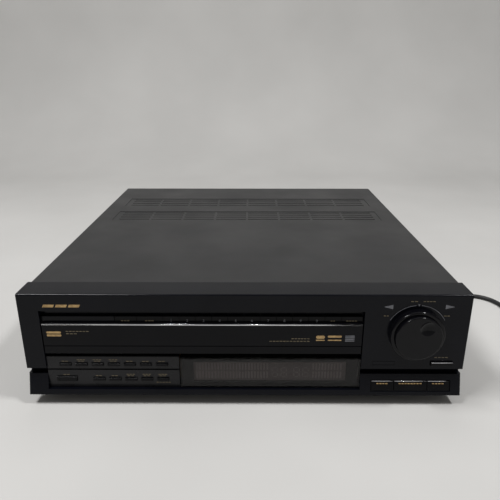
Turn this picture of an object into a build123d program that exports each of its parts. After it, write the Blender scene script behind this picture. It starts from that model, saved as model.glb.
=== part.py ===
"""Front-loading player for 12-inch video discs, with its drawer, keys, dials and mains lead.

Millimetres.  While modelling, X = 0 is the middle of the player, Y = 0 the front face of the
bezel (+Y to the rear) and Z = 0 the surface that the feet stand on.  Every sub-part is
moved, when it is written, so that the origin lies under the middle of the player's box.
"""
import os
from math import acos, atan2, cos, degrees, pi, radians, sin, sqrt, tan

from build123d import *

os.makedirs("parts", exist_ok=True)

# ---------------------------------------------------------------- driving dimensions
# the whole case
player_width = 435.0
player_height = 121.0
foot_height = 12.0
rear_plane = 456.0          # rear edge of the cover behind the bezel's face
bezel_depth = 30.0          # how far the bezel's top strip reaches back
cover_inset = 2.1           # the cover is narrower than the bezel by this much on each side
cover_drop = 0.5            # the cover's top lies this much below the bezel's top
moulded_wall = 3.0
cover_sheet = 1.2
chassis_sheet = 1.2
seat_gap = 0.2              # between still pieces that rest on or beside each other
slide_gap = 0.3             # between a still and a moving piece
spin_gap = 0.05             # radial play of a shaft in its bore

# the bezel's opening and the neck under the bezel
left_jamb = 19.5            # bezel to the left of the opening
opening_margin = 3.5        # the opening is wider than the tray by this much on each side
opening_top = 103.3
bezel_bottom = 40.2
bar_top = 33.2
neck_setback = 8.0
jamb_wall = 2.0
bezel_edge_radius = 1.6

# the leaning lower bar
bar_top_setback = 2.1       # the bar's top edge lies this far behind the bezel's face
bar_bottom_reach = 4.0      # and its bottom edge this far in front of it
ledge_top = 17.3
bar_floor_sheet = 2.0
bar_floor_depth = 26.0

# the drawer and its tray
drawer_front_bottom = 56.9
drawer_front_top = 89.9
drawer_side_gap = 1.2
drawer_wall = 3.2           # ends in front of the top row of keys
drawer_flange_depth = 9.0
drawer_rib = 2.0
drawer_groove_height = 65.1
drawer_groove_width = 0.8
disc_diameter = 301.0
disc_play = 1.0             # radial room of a disc in its recess
tray_rim = 2.0              # narrowest rim beside the disc's recess
tray_front = 9.2
tray_tail = 35.8            # tray behind the recess
tray_bottom = 60.0
tray_top = 74.0
tray_floor = 65.0           # bed of the 12-inch recess
recess_step = 1.0           # each smaller recess lies this much deeper
eight_inch_diameter = 203.0
five_inch_diameter = 122.0
tray_slot_half_width = 45.0
tray_slot_margin = 20.0     # tray behind the slot
recess_front_rim = 10.0

# the rack and its pinion
tooth_module = 2.0
pinion_teeth = 12
pinion_bore = 2.5
pinion_offset = 119.0       # pinion to the right of the tray's middle
pinion_y = 50.0
pinion_height = 5.4
rack_pitches = 48           # the drawer travels this many teeth
rack_bottom = 53.0
rack_back = 6.0
tooth_backlash = 0.36
pressure_angle = 20.0
belt_pulley_radius = 15.0
motor_pulley_radius = 5.0
belt_thickness = 1.5
belt_height = 3.0
belt_z = 45.5
motor_offset = 36.0         # loading motor's distance from the pinion
loading_motor_radius = 12.0

# the top row of keys
key_row_face = 3.5
key_row_bottom = drawer_front_top + slide_gap   # clears the drawer as it slides
key_row_top = 96.4
row_switch_drop = 1.3       # from a key's top to its switch's middle
key_row_cap = 2.7
grille_front = 7.5
grille_back = 9.5
blank_strip_width = 71.8
side_a_width = 21.3
side_b_width = 25.8
digit_pitch = 15.74
digit_count = 10
plus_ten_width = 15.8
key_row_end_gap = 1.0
key_split = 0.4             # joint between two neighbouring caps

# what all keys share
key_travel = 1.0
flange_thickness = 1.2
switch_gap = 0.3
board_face = 15.5
board_sheet = 1.6
flange_lap = 1.0
key_clearance = 0.3

# the key panel at the lower left
panel_face = 2.0
panel_sheet = 3.0
panel_width = 132.6
panel_top = 52.6
panel_split_top = 38.7
panel_split_bottom = 37.0
panel_split_depth = 1.6
panel_bottom = 17.6
small_key_width = 11.7
small_key_reach = 1.6
upper_key_inset = 12.9
upper_key_pitch = 16.13
upper_key_count = 7
upper_key_bottom = 42.3
upper_key_height = 2.9
lower_key_inset = 45.4
lower_key_count = 5
lower_key_bottom = 25.3
lower_key_height = 3.2
power_key_inset = 8.8
power_key_width = 20.1
power_key_bottom = 24.7
power_key_height = 5.1

# the display
window_joint = 0.8          # between the key panel and the window
window_top = 50.6
window_bottom = 17.6
window_face = 0.6
window_sheet = 3.0
tube_left_margin = 8.6
tube_right_margin = 9.5
tube_bottom = 22.0
tube_top = 49.0
tube_front = 6.0

# dial, open key and remote sensor on the right of the bezel
dial_z = 80.3
ring_radius = 26.2
ring_reach = 8.0
ring_floor = 4.0
ring_sleeve_radius = 12.0
ring_sleeve_end = 8.2
ring_turn = 60.0
jog_radius = 22.6
jog_reach = 12.0
jog_shaft_radius = 4.0
jog_shaft_end = 13.0
dimple_radius = 7.4
dimple_depth = 2.4
dimple_x = 7.0
dimple_z = 10.8
encoder_half = 8.0
open_key_inset = 32.9       # its left end from the bezel's right end
open_key_width = 21.7
open_key_bottom = 44.5
open_key_height = 4.35
open_key_reach = 2.0
sensor_inset = 11.2
sensor_width = 21.9
sensor_bottom = 44.6
sensor_height = 4.6
sensor_groove = 0.4

# the three keys in the lower bar
transport_left_margin = 11.7
transport_right_margin = 11.4
transport_left_share = 0.291    # of the row that the three keys divide
transport_right_share = 0.282
transport_bottom = 16.7
transport_top = 26.2
transport_split = 0.6
transport_depth = 0.5
well_margin = 1.0
well_depth = 1.2
transport_flange_y = 4.0

# chassis, feet and cover
chassis_front_gap = 0.8     # behind the bezel's rear edge
rear_lip = 3.1              # the cover reaches this far behind the chassis
chassis_wall_gap = 1.8      # under the cover's top sheet
chassis_flange_top = 40.0
rear_flange_top = 23.0
foot_radius = 20.0
foot_taper = 2.0
foot_inset = 52.5
foot_front_y = 60.0
foot_rear_margin = 56.0
cover_bottom = 14.0
vent_side_margin = 31.4
vent_bridge = 3.0
vent_bays = 8
vent_slot = 2.4
vent_pitch = 11.1
vent_lines = 4
front_vent_margin = 195.6   # first slot of each group from the cover's rear edge
rear_vent_margin = 116.7
vent_border = 6.5
vent_emboss = 0.5
hem_height = 6.0

# tray rails
rail_wall = 2.0
rail_ledge = 8.0
rail_rise = 6.0
rail_end_gap = 2.0          # the rails stop short of the tray's rear edge

# the mechanism that lifts the turntable and the pickup
lift = 13.0
frame_half_width = 54.0
frame_front_reach = 58.7    # in front of the disc's centre
frame_end_gap = 2.0
frame_bottom = 33.0
frame_sheet = 3.0
post_radius = 4.0
post_top = 55.0
post_collar = 7.0
post_margin = 8.0
motor_radius = 30.0
motor_bottom = 15.5
motor_boss_radius = 6.0
turntable_radius = 34.0
turntable_bottom = 49.5
turntable_sheet = 3.5
hub_radius = 17.4
hub_height = 5.5
hub_chamfer = 2.4
spindle_radius = 2.5
spindle_end = 38.0
guide_rod_radius = 3.0
guide_rod_x = 32.0
guide_rod_z = 40.0
rod_block_length = 6.0
rod_block_top = 44.0
rod_block_half_width = 43.0
rod_block_offset = 29.3     # behind the disc's centre
carriage_length = 36.0
carriage_half_width = 40.0
carriage_bottom = 36.6
carriage_top = 45.6
lens_radius = 7.0
lens_top = 50.4
carriage_travel = 95.0

# the clamp above the disc
bridge_half_width = 40.0
bridge_front_reach = 52.7   # in front of the disc's centre
bridge_tail = 8.0           # behind the hinge
bridge_bottom = 83.0
bridge_sheet = 2.0
bridge_flange = 9.0
hinge_offset = 12.0         # behind the tray's rear edge
hinge_z = 89.0
hinge_pin_radius = 3.0
hinge_bracket = 8.0
clamp_radius = 35.0
clamp_bottom = 76.0
clamp_recess_radius = 19.5
clamp_recess_depth = 4.0
clamp_neck_radius = 8.0
clamp_cap_radius = 14.0
clamp_cap_height = 1.8

# boards, transformer and rear connections
board_height = 22.0
board_left_gap = 7.2        # from the right rail
board_right_gap = 7.9       # from the chassis's side
board_front = 60.0
board_rear_gap = 6.9        # from the chassis's rear flange
rear_board_depth = 54.0
rear_board_gap = 55.0       # its left end from the transformer's middle
chip_inset = 12.0
chip_width = 28.0
chip_length = 28.0
chip_height = 3.5
chip_pitch = 48.0
chip_first = 30.0
chip_count = 6
capacitor_inset = 22.0      # from the board's right edge
capacitor_radius = 8.0
capacitor_height = 22.0
capacitor_offset = 6.0
small_capacitor_radius = 5.0
small_capacitor_height = 14.0
small_capacitor_offset = 26.0
rear_chip_width = 30.0
rear_chip_length = 26.0
rear_chip_pitch = 58.0
rear_chip_offset = 8.0
rear_chip_count = 3
heat_sink_inset = 4.0
heat_sink_sheet = 5.0
heat_sink_offset = 20.0
heat_sink_length = 250.0
heat_sink_height = 34.0
standoff_radius = 3.5
standoff_inset = 6.0
transformer_inset = 48.9    # from the chassis's left side
transformer_rear_gap = 42.9 # from the chassis's rear flange
core_length = 60.0
core_depth = 36.0
core_height = 50.0
winding_length = 34.0
winding_depth = 50.0
winding_height = 34.0
panel_play = 1.9            # the rear panel is narrower than the chassis by this on each side
socket_block_depth = 12.0
socket_block_margin = 9.0
socket_bore_depth = 9.0
socket_collar = 1.6
socket_block_half = 66.0
socket_rows_z = (38.0, 62.0)
socket_columns = 5
socket_pitch = 25.0
socket_radius = 4.15
socket_collar_radius = 6.2
socket_bore = 1.7
socket_reach = 8.0
grille_slots = 16
grille_slot_width = 2.6
grille_slot_pitch = 6.6
grille_slot_height = 24.0
grille_top_margin = 12.5    # under the cover's top

# screws
screw_head_radius = 3.8
screw_head_height = 1.8
screw_shank_radius = 1.9
screw_hole_radius = 2.2
screw_shank_length = 7.0
side_screw_front = 110.0
side_screw_rear_margin = 61.0
side_screw_z = 28.0
rear_screw_inset = 16.0
rear_screw_z = 18.0

# the mains lead
cord_diameter = 5.8
gland_x = 170.0
gland_z = 36.0
gland_length = 30.0
gland_root_radius = 6.5
gland_tip_radius = 4.0
gland_flange_radius = 9.0
gland_hole_gap = 0.2
coil_pitch = 6.4            # from turn to turn and from layer to layer
coil_first_radius = 41.0
coil_half_turns = 5         # inward on the lower layer, and as many outward on the upper one
tail_radius = 30.0
tail_turn = 50.0
plug_width = 25.0
plug_length = 34.0
plug_corner = 5.0
plug_shoulder = 3.0
blade_width = 6.3
blade_sheet = 1.5
blade_length = 17.0
blade_spacing = 12.7
floor_lift = 0.05           # the lead's underside lies this much above the floor

# ---------------------------------------------------------------- places worked out from them
half_width = player_width / 2
cover_half_width = half_width - cover_inset
cover_top = player_height - cover_drop
recess_radius = disc_diameter / 2 + disc_play
tray_half_width = recess_radius + tray_rim
opening_left = -half_width + left_jamb
opening_right = opening_left + 2 * (tray_half_width + opening_margin)
tray_centre_x = (opening_left + opening_right) / 2
disc_centre_y = tray_front + recess_front_rim + recess_radius
tray_rear = disc_centre_y + recess_radius + tray_tail
tray_slot_rear = tray_rear - tray_slot_margin
rail_rear = tray_rear - rail_end_gap
blank_strip_end = opening_left + blank_strip_width
side_a_end = blank_strip_end + side_a_width
side_b_end = side_a_end + side_b_width
panel_right = opening_left + panel_width
window_left = panel_right + window_joint
dial_x = (opening_right + half_width) / 2
open_key_left = half_width - open_key_inset
sensor_left = opening_right + sensor_inset
transport_left = opening_right + transport_left_margin
transport_right = half_width - transport_right_margin
transport_row = transport_right - transport_left
transport_split_1 = transport_left + transport_left_share * transport_row
transport_split_2 = transport_right - transport_right_share * transport_row
chassis_half_width = cover_half_width - cover_sheet - slide_gap
chassis_front = bezel_depth + chassis_front_gap
chassis_rear = rear_plane - rear_lip
chassis_wall_top = cover_top - cover_sheet - chassis_wall_gap
panel_half_width = chassis_half_width - panel_play
foot_x = half_width - foot_inset
foot_rear_y = rear_plane - foot_rear_margin
vent_half_width = cover_half_width - vent_side_margin
side_screw_ys = (side_screw_front, rear_plane - side_screw_rear_margin)
rear_screw_xs = (rear_screw_inset - panel_half_width, 0.0, panel_half_width - rear_screw_inset)
pinion_x = tray_centre_x + pinion_offset
frame_front = disc_centre_y - frame_front_reach
frame_rear = tray_rear - frame_end_gap
rod_block_front = disc_centre_y + rod_block_offset
hinge_y = tray_rear + hinge_offset
bridge_front = disc_centre_y - bridge_front_reach
bridge_rear = hinge_y + bridge_tail
board_left = tray_centre_x + tray_half_width + slide_gap + rail_wall + board_left_gap
board_right = chassis_half_width - board_right_gap
board_rear = chassis_rear - board_rear_gap
rear_board_front = board_rear - rear_board_depth
transformer_x = -chassis_half_width + transformer_inset
transformer_y = chassis_rear - transformer_rear_gap
rear_board_left = transformer_x + rear_board_gap
grille_slot_top = cover_top - grille_top_margin
tooth_pitch = pi * tooth_module
drawer_travel = rack_pitches * tooth_pitch
pinion_radius = tooth_module * pinion_teeth / 2
frame_top = frame_bottom + frame_sheet
front_reach = -jog_reach
panel_plane = chassis_rear + seat_gap
panel_back = panel_plane + chassis_sheet
socket_end = rear_plane + socket_reach
middle_y = (front_reach + socket_end) / 2
jog_pocket_radius = jog_radius + slide_gap
cord_radius = cord_diameter / 2
cord_z = cord_radius + floor_lift


# ---------------------------------------------------------------- helpers
def block(x0, x1, y0, y1, z0, z1):
    """Box between two corners."""
    box = Box(x1 - x0, y1 - y0, z1 - z0)
    return Pos((x0 + x1) / 2, (y0 + y1) / 2, (z0 + z1) / 2) * box


def post(x, y, radius, z0, z1):
    """Upright cylinder."""
    return Pos(x, y, (z0 + z1) / 2) * Cylinder(radius, z1 - z0)


def rod_y(x, z, radius, y0, y1):
    """Cylinder that runs front to back."""
    return Pos(x, (y0 + y1) / 2, z) * Rot(90, 0, 0) * Cylinder(radius, y1 - y0)


def rod_x(y, z, radius, x0, x1):
    """Cylinder that runs left to right."""
    return Pos((x0 + x1) / 2, y, z) * Rot(0, 90, 0) * Cylinder(radius, x1 - x0)


def cone_y(x, z, radius_0, radius_1, y0, y1):
    """Cone that runs front to back, radius_0 at the front."""
    return Pos(x, (y0 + y1) / 2, z) * Rot(-90, 0, 0) * Cone(radius_0, radius_1, y1 - y0)


def prism_x(points, x0, x1):
    """Side profile of (y, z) points, drawn out from x0 to x1."""
    outline = Polyline(*[(x0, y, z) for y, z in points], close=True)
    return extrude(make_face(outline), amount=x1 - x0, dir=(1, 0, 0))


def write(name, shape):
    """Write a sub-part, moved so that the origin lies under the middle of the player."""
    placed = Pos(0, -middle_y, 0) * shape
    export_step(placed, "parts/" + name + ".step")
    return shape


def joined(shapes):
    """Fuse a list of shapes into one."""
    whole = shapes[0]
    for shape in shapes[1:]:
        whole = whole + shape
    return whole


def group(shapes):
    """Separate solids in one sub-part."""
    return Compound([solid for shape in shapes for solid in shape.solids()])


def bar_face(z):
    """How far behind the bezel's face the leaning bar's front lies at height z."""
    slope = (bar_top_setback + bar_bottom_reach) / (bar_top - foot_height)
    return -bar_bottom_reach + slope * (z - foot_height)


# ---------------------------------------------------------------- keys: one list for panel and caps
def row_key_spans():
    """Name, left and right end of each key in the top row."""
    spans = [("side_a_key", blank_strip_end, side_a_end), ("side_b_key", side_a_end, side_b_end)]
    for number in range(digit_count):
        left = side_b_end + number * digit_pitch
        digit = (number + 1) % digit_count
        spans.append(("digit_%d_key" % digit, left, left + digit_pitch))
    plus_ten_left = side_b_end + digit_count * digit_pitch
    spans.append(("plus_ten_key", plus_ten_left, plus_ten_left + plus_ten_width))
    spans.append(("clear_key", plus_ten_left + plus_ten_width, opening_right - key_row_end_gap))
    return spans


def panel_key_boxes():
    """Name, left end, width, bottom and height of each key in the lower left panel."""
    boxes = []
    for number in range(upper_key_count):
        left = opening_left + upper_key_inset + number * upper_key_pitch
        boxes.append(("upper_key_%d" % (number + 1), left, small_key_width,
                      upper_key_bottom, upper_key_height))
    for number in range(lower_key_count):
        left = opening_left + lower_key_inset + number * upper_key_pitch
        boxes.append(("lower_key_%d" % (number + 1), left, small_key_width,
                      lower_key_bottom, lower_key_height))
    boxes.append(("power_key", opening_left + power_key_inset, power_key_width,
                  power_key_bottom, power_key_height))
    return boxes


def transport_key_spans():
    """Name, left and right end of the three keys in the lower bar."""
    half_split = transport_split / 2
    return [
        ("transport_key_left", transport_left, transport_split_1 - half_split),
        ("transport_key_middle", transport_split_1 + half_split, transport_split_2 - half_split),
        ("transport_key_right", transport_split_2 + half_split, transport_right),
    ]


def row_stem(left, right, play):
    """The stem of a top-row key, or with play the slot that it runs in."""
    inset = 2.5
    middle = (key_row_bottom + key_row_top) / 2
    return (left + inset - play, right - inset + play, middle - inset + 0.5 - play,
            middle + inset - 0.5 + play)


def row_key(left, right):
    """Cap in front of the grille, stem through it and a flange behind that holds it in."""
    x0 = left + key_split / 2
    x1 = right - key_split / 2
    cap = block(x0, x1, key_row_face, key_row_face + key_row_cap, key_row_bottom, key_row_top)
    top_edge = cap.edges().filter_by(Axis.X).sort_by(Axis.Y)[:2].sort_by(Axis.Z)[-1:]
    cap = fillet(top_edge, 0.6)
    sx0, sx1, sz0, sz1 = row_stem(left, right, 0.0)
    flange_front = grille_back + slide_gap
    stem = block(sx0, sx1, key_row_face + key_row_cap, flange_front, sz0, sz1)
    flange = block(x0, x1, flange_front, flange_front + flange_thickness,
                   key_row_bottom + 0.6, key_row_top + flange_lap)
    return joined([cap, stem, flange])


def panel_key(left, width, bottom, height, face, back):
    """Bar-shaped key that stands out of its panel, with a flange behind the panel."""
    flange_front = back + slide_gap
    cap = block(left, left + width, face, flange_front, bottom, bottom + height)
    front_edges = cap.faces().sort_by(Axis.Y)[0].edges()
    cap = fillet(front_edges, 0.4)
    flange = block(left - flange_lap, left + width + flange_lap, flange_front,
                   flange_front + flange_thickness, bottom - flange_lap,
                   bottom + height + flange_lap)
    return cap + flange


def transport_key(x0, x1):
    """Cap with a leaning face, a stem and a flange behind the bar's wall."""
    z0 = transport_bottom
    z1 = transport_top
    back = transport_flange_y
    cap = prism_x([(bar_face(z0) + transport_depth, z0), (bar_face(z1) + transport_depth, z1),
                   (back, z1), (back, z0)], x0, x1)
    top_edge = cap.edges().filter_by(Axis.X).sort_by(Axis.Z)[-2:].sort_by(Axis.Y)[:1]
    cap = fillet(top_edge, 0.7)
    flange = block(x0, x1, back, back + flange_thickness, z0 - flange_lap, z1 + flange_lap)
    return cap + flange


# ---------------------------------------------------------------- front pieces
def bezel():
    """Upper front moulding with its opening, key grille, jambs, neck and board bosses."""
    left = -half_width
    right = half_width
    shell = block(left, right, 0, bezel_depth, bezel_bottom, player_height)
    top_front = shell.edges().filter_by(Axis.X).sort_by(Axis.Y)[:2].sort_by(Axis.Z)[-1:]
    shell = fillet(top_front, bezel_edge_radius)
    wall = moulded_wall
    shell -= block(left + wall, right - wall, wall, bezel_depth + 1, bezel_bottom + wall,
                   player_height - wall)
    shell -= block(opening_left, opening_right, -1, bezel_depth + 1, bezel_bottom - 1, opening_top)
    jamb_end = board_face - seat_gap
    pieces = [shell]
    pieces.append(block(opening_left - jamb_wall, opening_left, wall, jamb_end,
                        bezel_bottom, opening_top + jamb_wall))
    pieces.append(block(opening_right, opening_right + jamb_wall, wall, jamb_end,
                        bezel_bottom, opening_top + jamb_wall))
    pieces.append(block(opening_left, opening_right, wall, jamb_end,
                        opening_top, opening_top + jamb_wall))
    # neck that carries the lower bar, set back so that it lies in shadow
    neck_back = neck_setback + wall
    for x0, x1 in ((left + 0.5, opening_left), (opening_right, right - 0.5)):
        pieces.append(block(x0, x1, neck_setback, neck_back, bar_top, bezel_bottom + wall))
    # grille of the top key row and the blank strip at its left end
    pieces.append(block(opening_left, opening_right, grille_front, grille_back,
                        key_row_bottom, opening_top))
    strip = block(opening_left, blank_strip_end - key_split, key_row_face, grille_front,
                  key_row_bottom, key_row_top)
    strip_edge = strip.edges().filter_by(Axis.X).sort_by(Axis.Y)[:2].sort_by(Axis.Z)[-1:]
    pieces.append(fillet(strip_edge, 0.6))
    # rib that the top key board is screwed to
    pieces.append(block(opening_left, opening_right, grille_back, jamb_end,
                        key_row_top + flange_lap + 1.2, opening_top))
    # bosses that the dial's board is screwed to
    for x in (opening_right + 10, right - 12):
        for z in (bezel_bottom + 20, player_height - 10):
            pieces.append(rod_y(x, z, 3.5, wall, jamb_end))
    front = joined(pieces)
    for name, x0, x1 in row_key_spans():
        sx0, sx1, sz0, sz1 = row_stem(x0, x1, key_clearance)
        front -= block(sx0, sx1, grille_front - 1, grille_back + 1, sz0, sz1)
    # hole of the shuttle ring's sleeve, slot of the open key, outline of the sensor
    front -= rod_y(dial_x, dial_z, ring_sleeve_radius + spin_gap, -1, wall + 1)
    front -= block(open_key_left - key_clearance, open_key_left + open_key_width + key_clearance,
                   -1, wall + 1, open_key_bottom - key_clearance,
                   open_key_bottom + open_key_height + key_clearance)
    sensor = block(sensor_left, sensor_left + sensor_width, -1, sensor_groove,
                   sensor_bottom, sensor_bottom + sensor_height)
    inner = block(sensor_left + sensor_groove, sensor_left + sensor_width - sensor_groove,
                  -2, sensor_groove + 1, sensor_bottom + sensor_groove,
                  sensor_bottom + sensor_height - sensor_groove)
    return front - (sensor - inner)


def bar():
    """Leaning lower bar: two hollow end blocks, and a low ledge between them."""
    back = neck_setback + moulded_wall
    profile = [(bar_face(foot_height), foot_height), (bar_face(bar_top), bar_top),
               (back, bar_top), (back, foot_height)]
    whole = prism_x(profile, -half_width, half_width)
    corners = whole.edges().filter_by(Axis.Z, reverse=True).filter_by(Axis.X, reverse=True)
    slanted = corners.filter_by(lambda edge: edge.center().Y < bar_top_setback
                                and edge.center().Z > foot_height + 1)
    whole = fillet(slanted, 1.5)
    whole -= block(opening_left, opening_right, -bar_bottom_reach - 1, back + 1,
                   ledge_top, bar_top + 1)
    wall = moulded_wall
    inner_bottom = foot_height + bar_floor_sheet
    inner_top = bar_top - bar_floor_sheet
    cavity = [(bar_face(inner_bottom) + wall, inner_bottom), (bar_face(inner_top) + wall, inner_top),
              (back + 1, inner_top), (back + 1, inner_bottom)]
    for x0, x1 in ((-half_width + wall, opening_left - wall),
                   (opening_right + wall, half_width - wall)):
        whole -= prism_x(cavity, x0, x1)
    # floor that reaches back under the chassis's front, and a rib for the keys' board
    whole += block(-half_width + wall, half_width - wall, back, bar_floor_depth,
                   foot_height, inner_bottom)
    for x in (opening_right + wall, half_width - wall - 4):
        whole += block(x, x + 4, back - wall, board_face - seat_gap, inner_bottom, inner_top)
    # well and hole of the three keys
    z0 = transport_bottom - well_margin
    z1 = transport_top + well_margin
    well = [(bar_face(z0) - 1, z0), (bar_face(z1) - 1, z1), (bar_face(z1) + well_depth, z1),
            (bar_face(z0) + well_depth, z0)]
    whole -= prism_x(well, transport_left - well_margin, transport_right + well_margin)
    z0 = transport_bottom - key_clearance
    z1 = transport_top + key_clearance
    hole = [(bar_face(z0) - 1, z0), (bar_face(z1) - 1, z1), (bar_face(z1) + wall + 0.3, z1),
            (bar_face(z0) + wall + 0.3, z0)]
    return whole - prism_x(hole, transport_left - key_clearance, transport_right + key_clearance)


def key_panel():
    """Two-step panel at the lower left with its key slots and board ribs."""
    left = opening_left + seat_gap
    back = panel_face + panel_sheet
    plate = block(left, panel_right, panel_face, back, panel_bottom, panel_top)
    top_edge = plate.edges().filter_by(Axis.X).sort_by(Axis.Y)[:2].sort_by(Axis.Z)[-1:]
    plate = fillet(top_edge, 0.7)
    plate -= block(left - 1, panel_right + 1, panel_face - 1, panel_face + panel_split_depth,
                   panel_split_bottom, panel_split_top)
    rib_end = board_face - seat_gap
    for z0 in (panel_bottom, panel_top - 2.2):
        plate += block(left, panel_right, back, rib_end, z0, z0 + 1.8)
    for name, x0, width, z0, height in panel_key_boxes():
        plate -= block(x0 - key_clearance, x0 + width + key_clearance, panel_face - 1, back + 1,
                       z0 - key_clearance, z0 + height + key_clearance)
    return plate


def display_window():
    """Smoked window with a small bevel round its face."""
    pane = block(window_left, opening_right - seat_gap, window_face, window_face + window_sheet,
                 window_bottom, window_top)
    pane = chamfer(pane.faces().sort_by(Axis.Y)[0].edges(), 0.5)
    # two ribs behind the pane reach to the board
    for x in (window_left, opening_right - seat_gap - 2.0):
        pane += block(x, x + 2.0, window_face + window_sheet, board_face - seat_gap,
                      window_bottom, window_top)
    return pane


def display_tube():
    """Flat glass display tube in front of its board."""
    back = board_face - seat_gap
    tube_left = window_left + tube_left_margin
    tube_right = opening_right - tube_right_margin
    tube = block(tube_left, tube_right, tube_front, back - 2.5, tube_bottom, tube_top)
    tube = fillet(tube.faces().sort_by(Axis.Y)[0].edges(), 1.0)
    for x in (tube_left + 6, tube_right - 6):
        tube += block(x - 3, x + 3, back - 2.5, back, tube_bottom + 5, tube_top - 5)
    return tube


def drawer_front():
    """Drawer's front board: a groove near its foot, and flanges that reach to the tray."""
    x0 = opening_left + drawer_side_gap
    x1 = opening_right - drawer_side_gap
    front = block(x0, x1, 0, drawer_wall, drawer_front_bottom, drawer_front_top)
    edges = front.edges().filter_by(Axis.X).sort_by(Axis.Y)[:2]
    front = fillet(edges, 0.5)
    rib_top = drawer_front_top
    for z0 in (drawer_front_bottom, rib_top - drawer_rib):
        front += block(x0, x1, drawer_wall, drawer_flange_depth, z0, z0 + drawer_rib)
    for x in (x0, tray_centre_x - drawer_rib / 2, x1 - drawer_rib):
        front += block(x, x + drawer_rib, drawer_wall, drawer_flange_depth,
                       drawer_front_bottom, rib_top)
    front -= block(x0 - 1, x1 + 1, -1, drawer_groove_width, drawer_groove_height,
                   drawer_groove_height + drawer_groove_width)
    return front


def jog_dial():
    """Free-turning inner dial: domed edge, finger dimple and shaft."""
    back = -ring_floor - slide_gap
    disc = rod_y(dial_x, dial_z, jog_radius, -jog_reach, back)
    disc = fillet(disc.edges().sort_by(Axis.Y)[:1], 1.2)
    # a ball sunk into the face leaves the round dimple
    ball_radius = (dimple_radius ** 2 + dimple_depth ** 2) / (2 * dimple_depth)
    ball = Sphere(ball_radius)
    ball_y = -jog_reach + dimple_depth - ball_radius
    disc -= Pos(dial_x + dimple_x, ball_y, dial_z + dimple_z) * ball
    return disc + rod_y(dial_x, dial_z, jog_shaft_radius, back, jog_shaft_end)


def shuttle_ring():
    """Sprung outer ring round the dial, with a sleeve through the bezel and a keeper flange."""
    ring = rod_y(dial_x, dial_z, ring_radius, -ring_reach, -slide_gap)
    ring = fillet(ring.edges().sort_by(Axis.Y)[:1], 1.5)
    ring -= rod_y(dial_x, dial_z, jog_pocket_radius, -ring_reach - 1, -ring_floor)
    sleeve = rod_y(dial_x, dial_z, ring_sleeve_radius, -slide_gap, ring_sleeve_end)
    keeper_front = moulded_wall + slide_gap
    keeper = rod_y(dial_x, dial_z, ring_sleeve_radius + 4, keeper_front, keeper_front + 2)
    bore = rod_y(dial_x, dial_z, jog_shaft_radius + spin_gap, -ring_reach, ring_sleeve_end + 1)
    return joined([ring, sleeve, keeper]) - bore


def tact_switch(x, z, tip):
    """Small square switch between the boards' face and a key's flange."""
    body = block(x - 3, x + 3, board_face - 3, board_face, z - 3, z + 3)
    return body + rod_y(x, z, 1.6, tip, board_face - 3)


def control_boards():
    """Four printed boards behind the front, with one switch for each key and the encoder."""
    back = board_face + board_sheet
    row_z = key_row_top - row_switch_drop
    top_board = block(opening_left, opening_right, board_face, back,
                      key_row_bottom + 0.6, opening_top + jamb_wall - 0.5)
    tip = grille_back + slide_gap + flange_thickness + key_travel + switch_gap
    for name, x0, x1 in row_key_spans():
        top_board += tact_switch((x0 + x1) / 2, row_z, tip)
    low_board = block(opening_left + seat_gap, opening_right - seat_gap, board_face, back,
                      panel_bottom, window_top)
    tip = panel_face + panel_sheet + slide_gap + flange_thickness + key_travel + switch_gap
    for name, x0, width, z0, height in panel_key_boxes():
        low_board += tact_switch(x0 + width / 2, z0 + height / 2, tip)
    dial_board = block(opening_right + jamb_wall + 1, half_width - moulded_wall - 1,
                       board_face, back, bezel_bottom + 4, player_height - moulded_wall - 1)
    tip = moulded_wall + slide_gap + flange_thickness + key_travel + switch_gap
    dial_board += tact_switch(open_key_left + open_key_width / 2,
                              open_key_bottom + open_key_height / 2, tip)
    encoder = block(dial_x - encoder_half, dial_x + encoder_half, ring_sleeve_end + slide_gap,
                    board_face, dial_z - encoder_half, dial_z + encoder_half)
    encoder -= rod_y(dial_x, dial_z, jog_shaft_radius + spin_gap, 0, jog_shaft_end + slide_gap)
    dial_board += encoder
    low = foot_height + bar_floor_sheet + seat_gap
    bar_board = block(opening_right + moulded_wall, half_width - moulded_wall, board_face, back,
                      low, bar_top - bar_floor_sheet)
    tip = transport_flange_y + flange_thickness + key_travel + switch_gap
    for name, x0, x1 in transport_key_spans():
        bar_board += tact_switch((x0 + x1) / 2, (transport_bottom + transport_top) / 2, tip)
    return group([top_board, low_board, dial_board, bar_board])


# ---------------------------------------------------------------- drawer, rack and pinion
def rack_tooth_width(depth):
    """Width of a rack tooth at a depth from its pitch line, towards its root."""
    return tooth_pitch / 2 - tooth_backlash / 2 + 2 * depth * tan(radians(pressure_angle))


def rack():
    """Straight toothed bar under the tray's right side; its teeth face the pinion."""
    pitch_x = pinion_x + pinion_radius
    tip_x = pitch_x - tooth_module
    root_x = pitch_x + 1.25 * tooth_module
    bar_end_x = root_x + rack_back
    bar_piece = block(root_x, bar_end_x, pinion_y - 2 * tooth_pitch,
                      pinion_y + drawer_travel + tooth_pitch * 0.5, rack_bottom, tray_bottom)
    tip_half = rack_tooth_width(-tooth_module) / 2
    root_half = rack_tooth_width(1.25 * tooth_module) / 2
    outline = Polyline((tip_x, -tip_half, rack_bottom), (tip_x, tip_half, rack_bottom),
                       (root_x, root_half, rack_bottom), (root_x, -root_half, rack_bottom),
                       close=True)
    tooth = extrude(make_face(outline), amount=tray_bottom - rack_bottom, dir=(0, 0, 1))
    teeth = [Pos(0, pinion_y + number * tooth_pitch, 0) * tooth
             for number in range(-1, rack_pitches + 1)]
    return bar_piece.fuse(*teeth)


def involute_flank(base_radius, radius):
    """Angle by which an involute has turned where it reaches this radius."""
    opening = acos(min(1.0, base_radius / radius))
    return tan(opening) - opening


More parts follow.
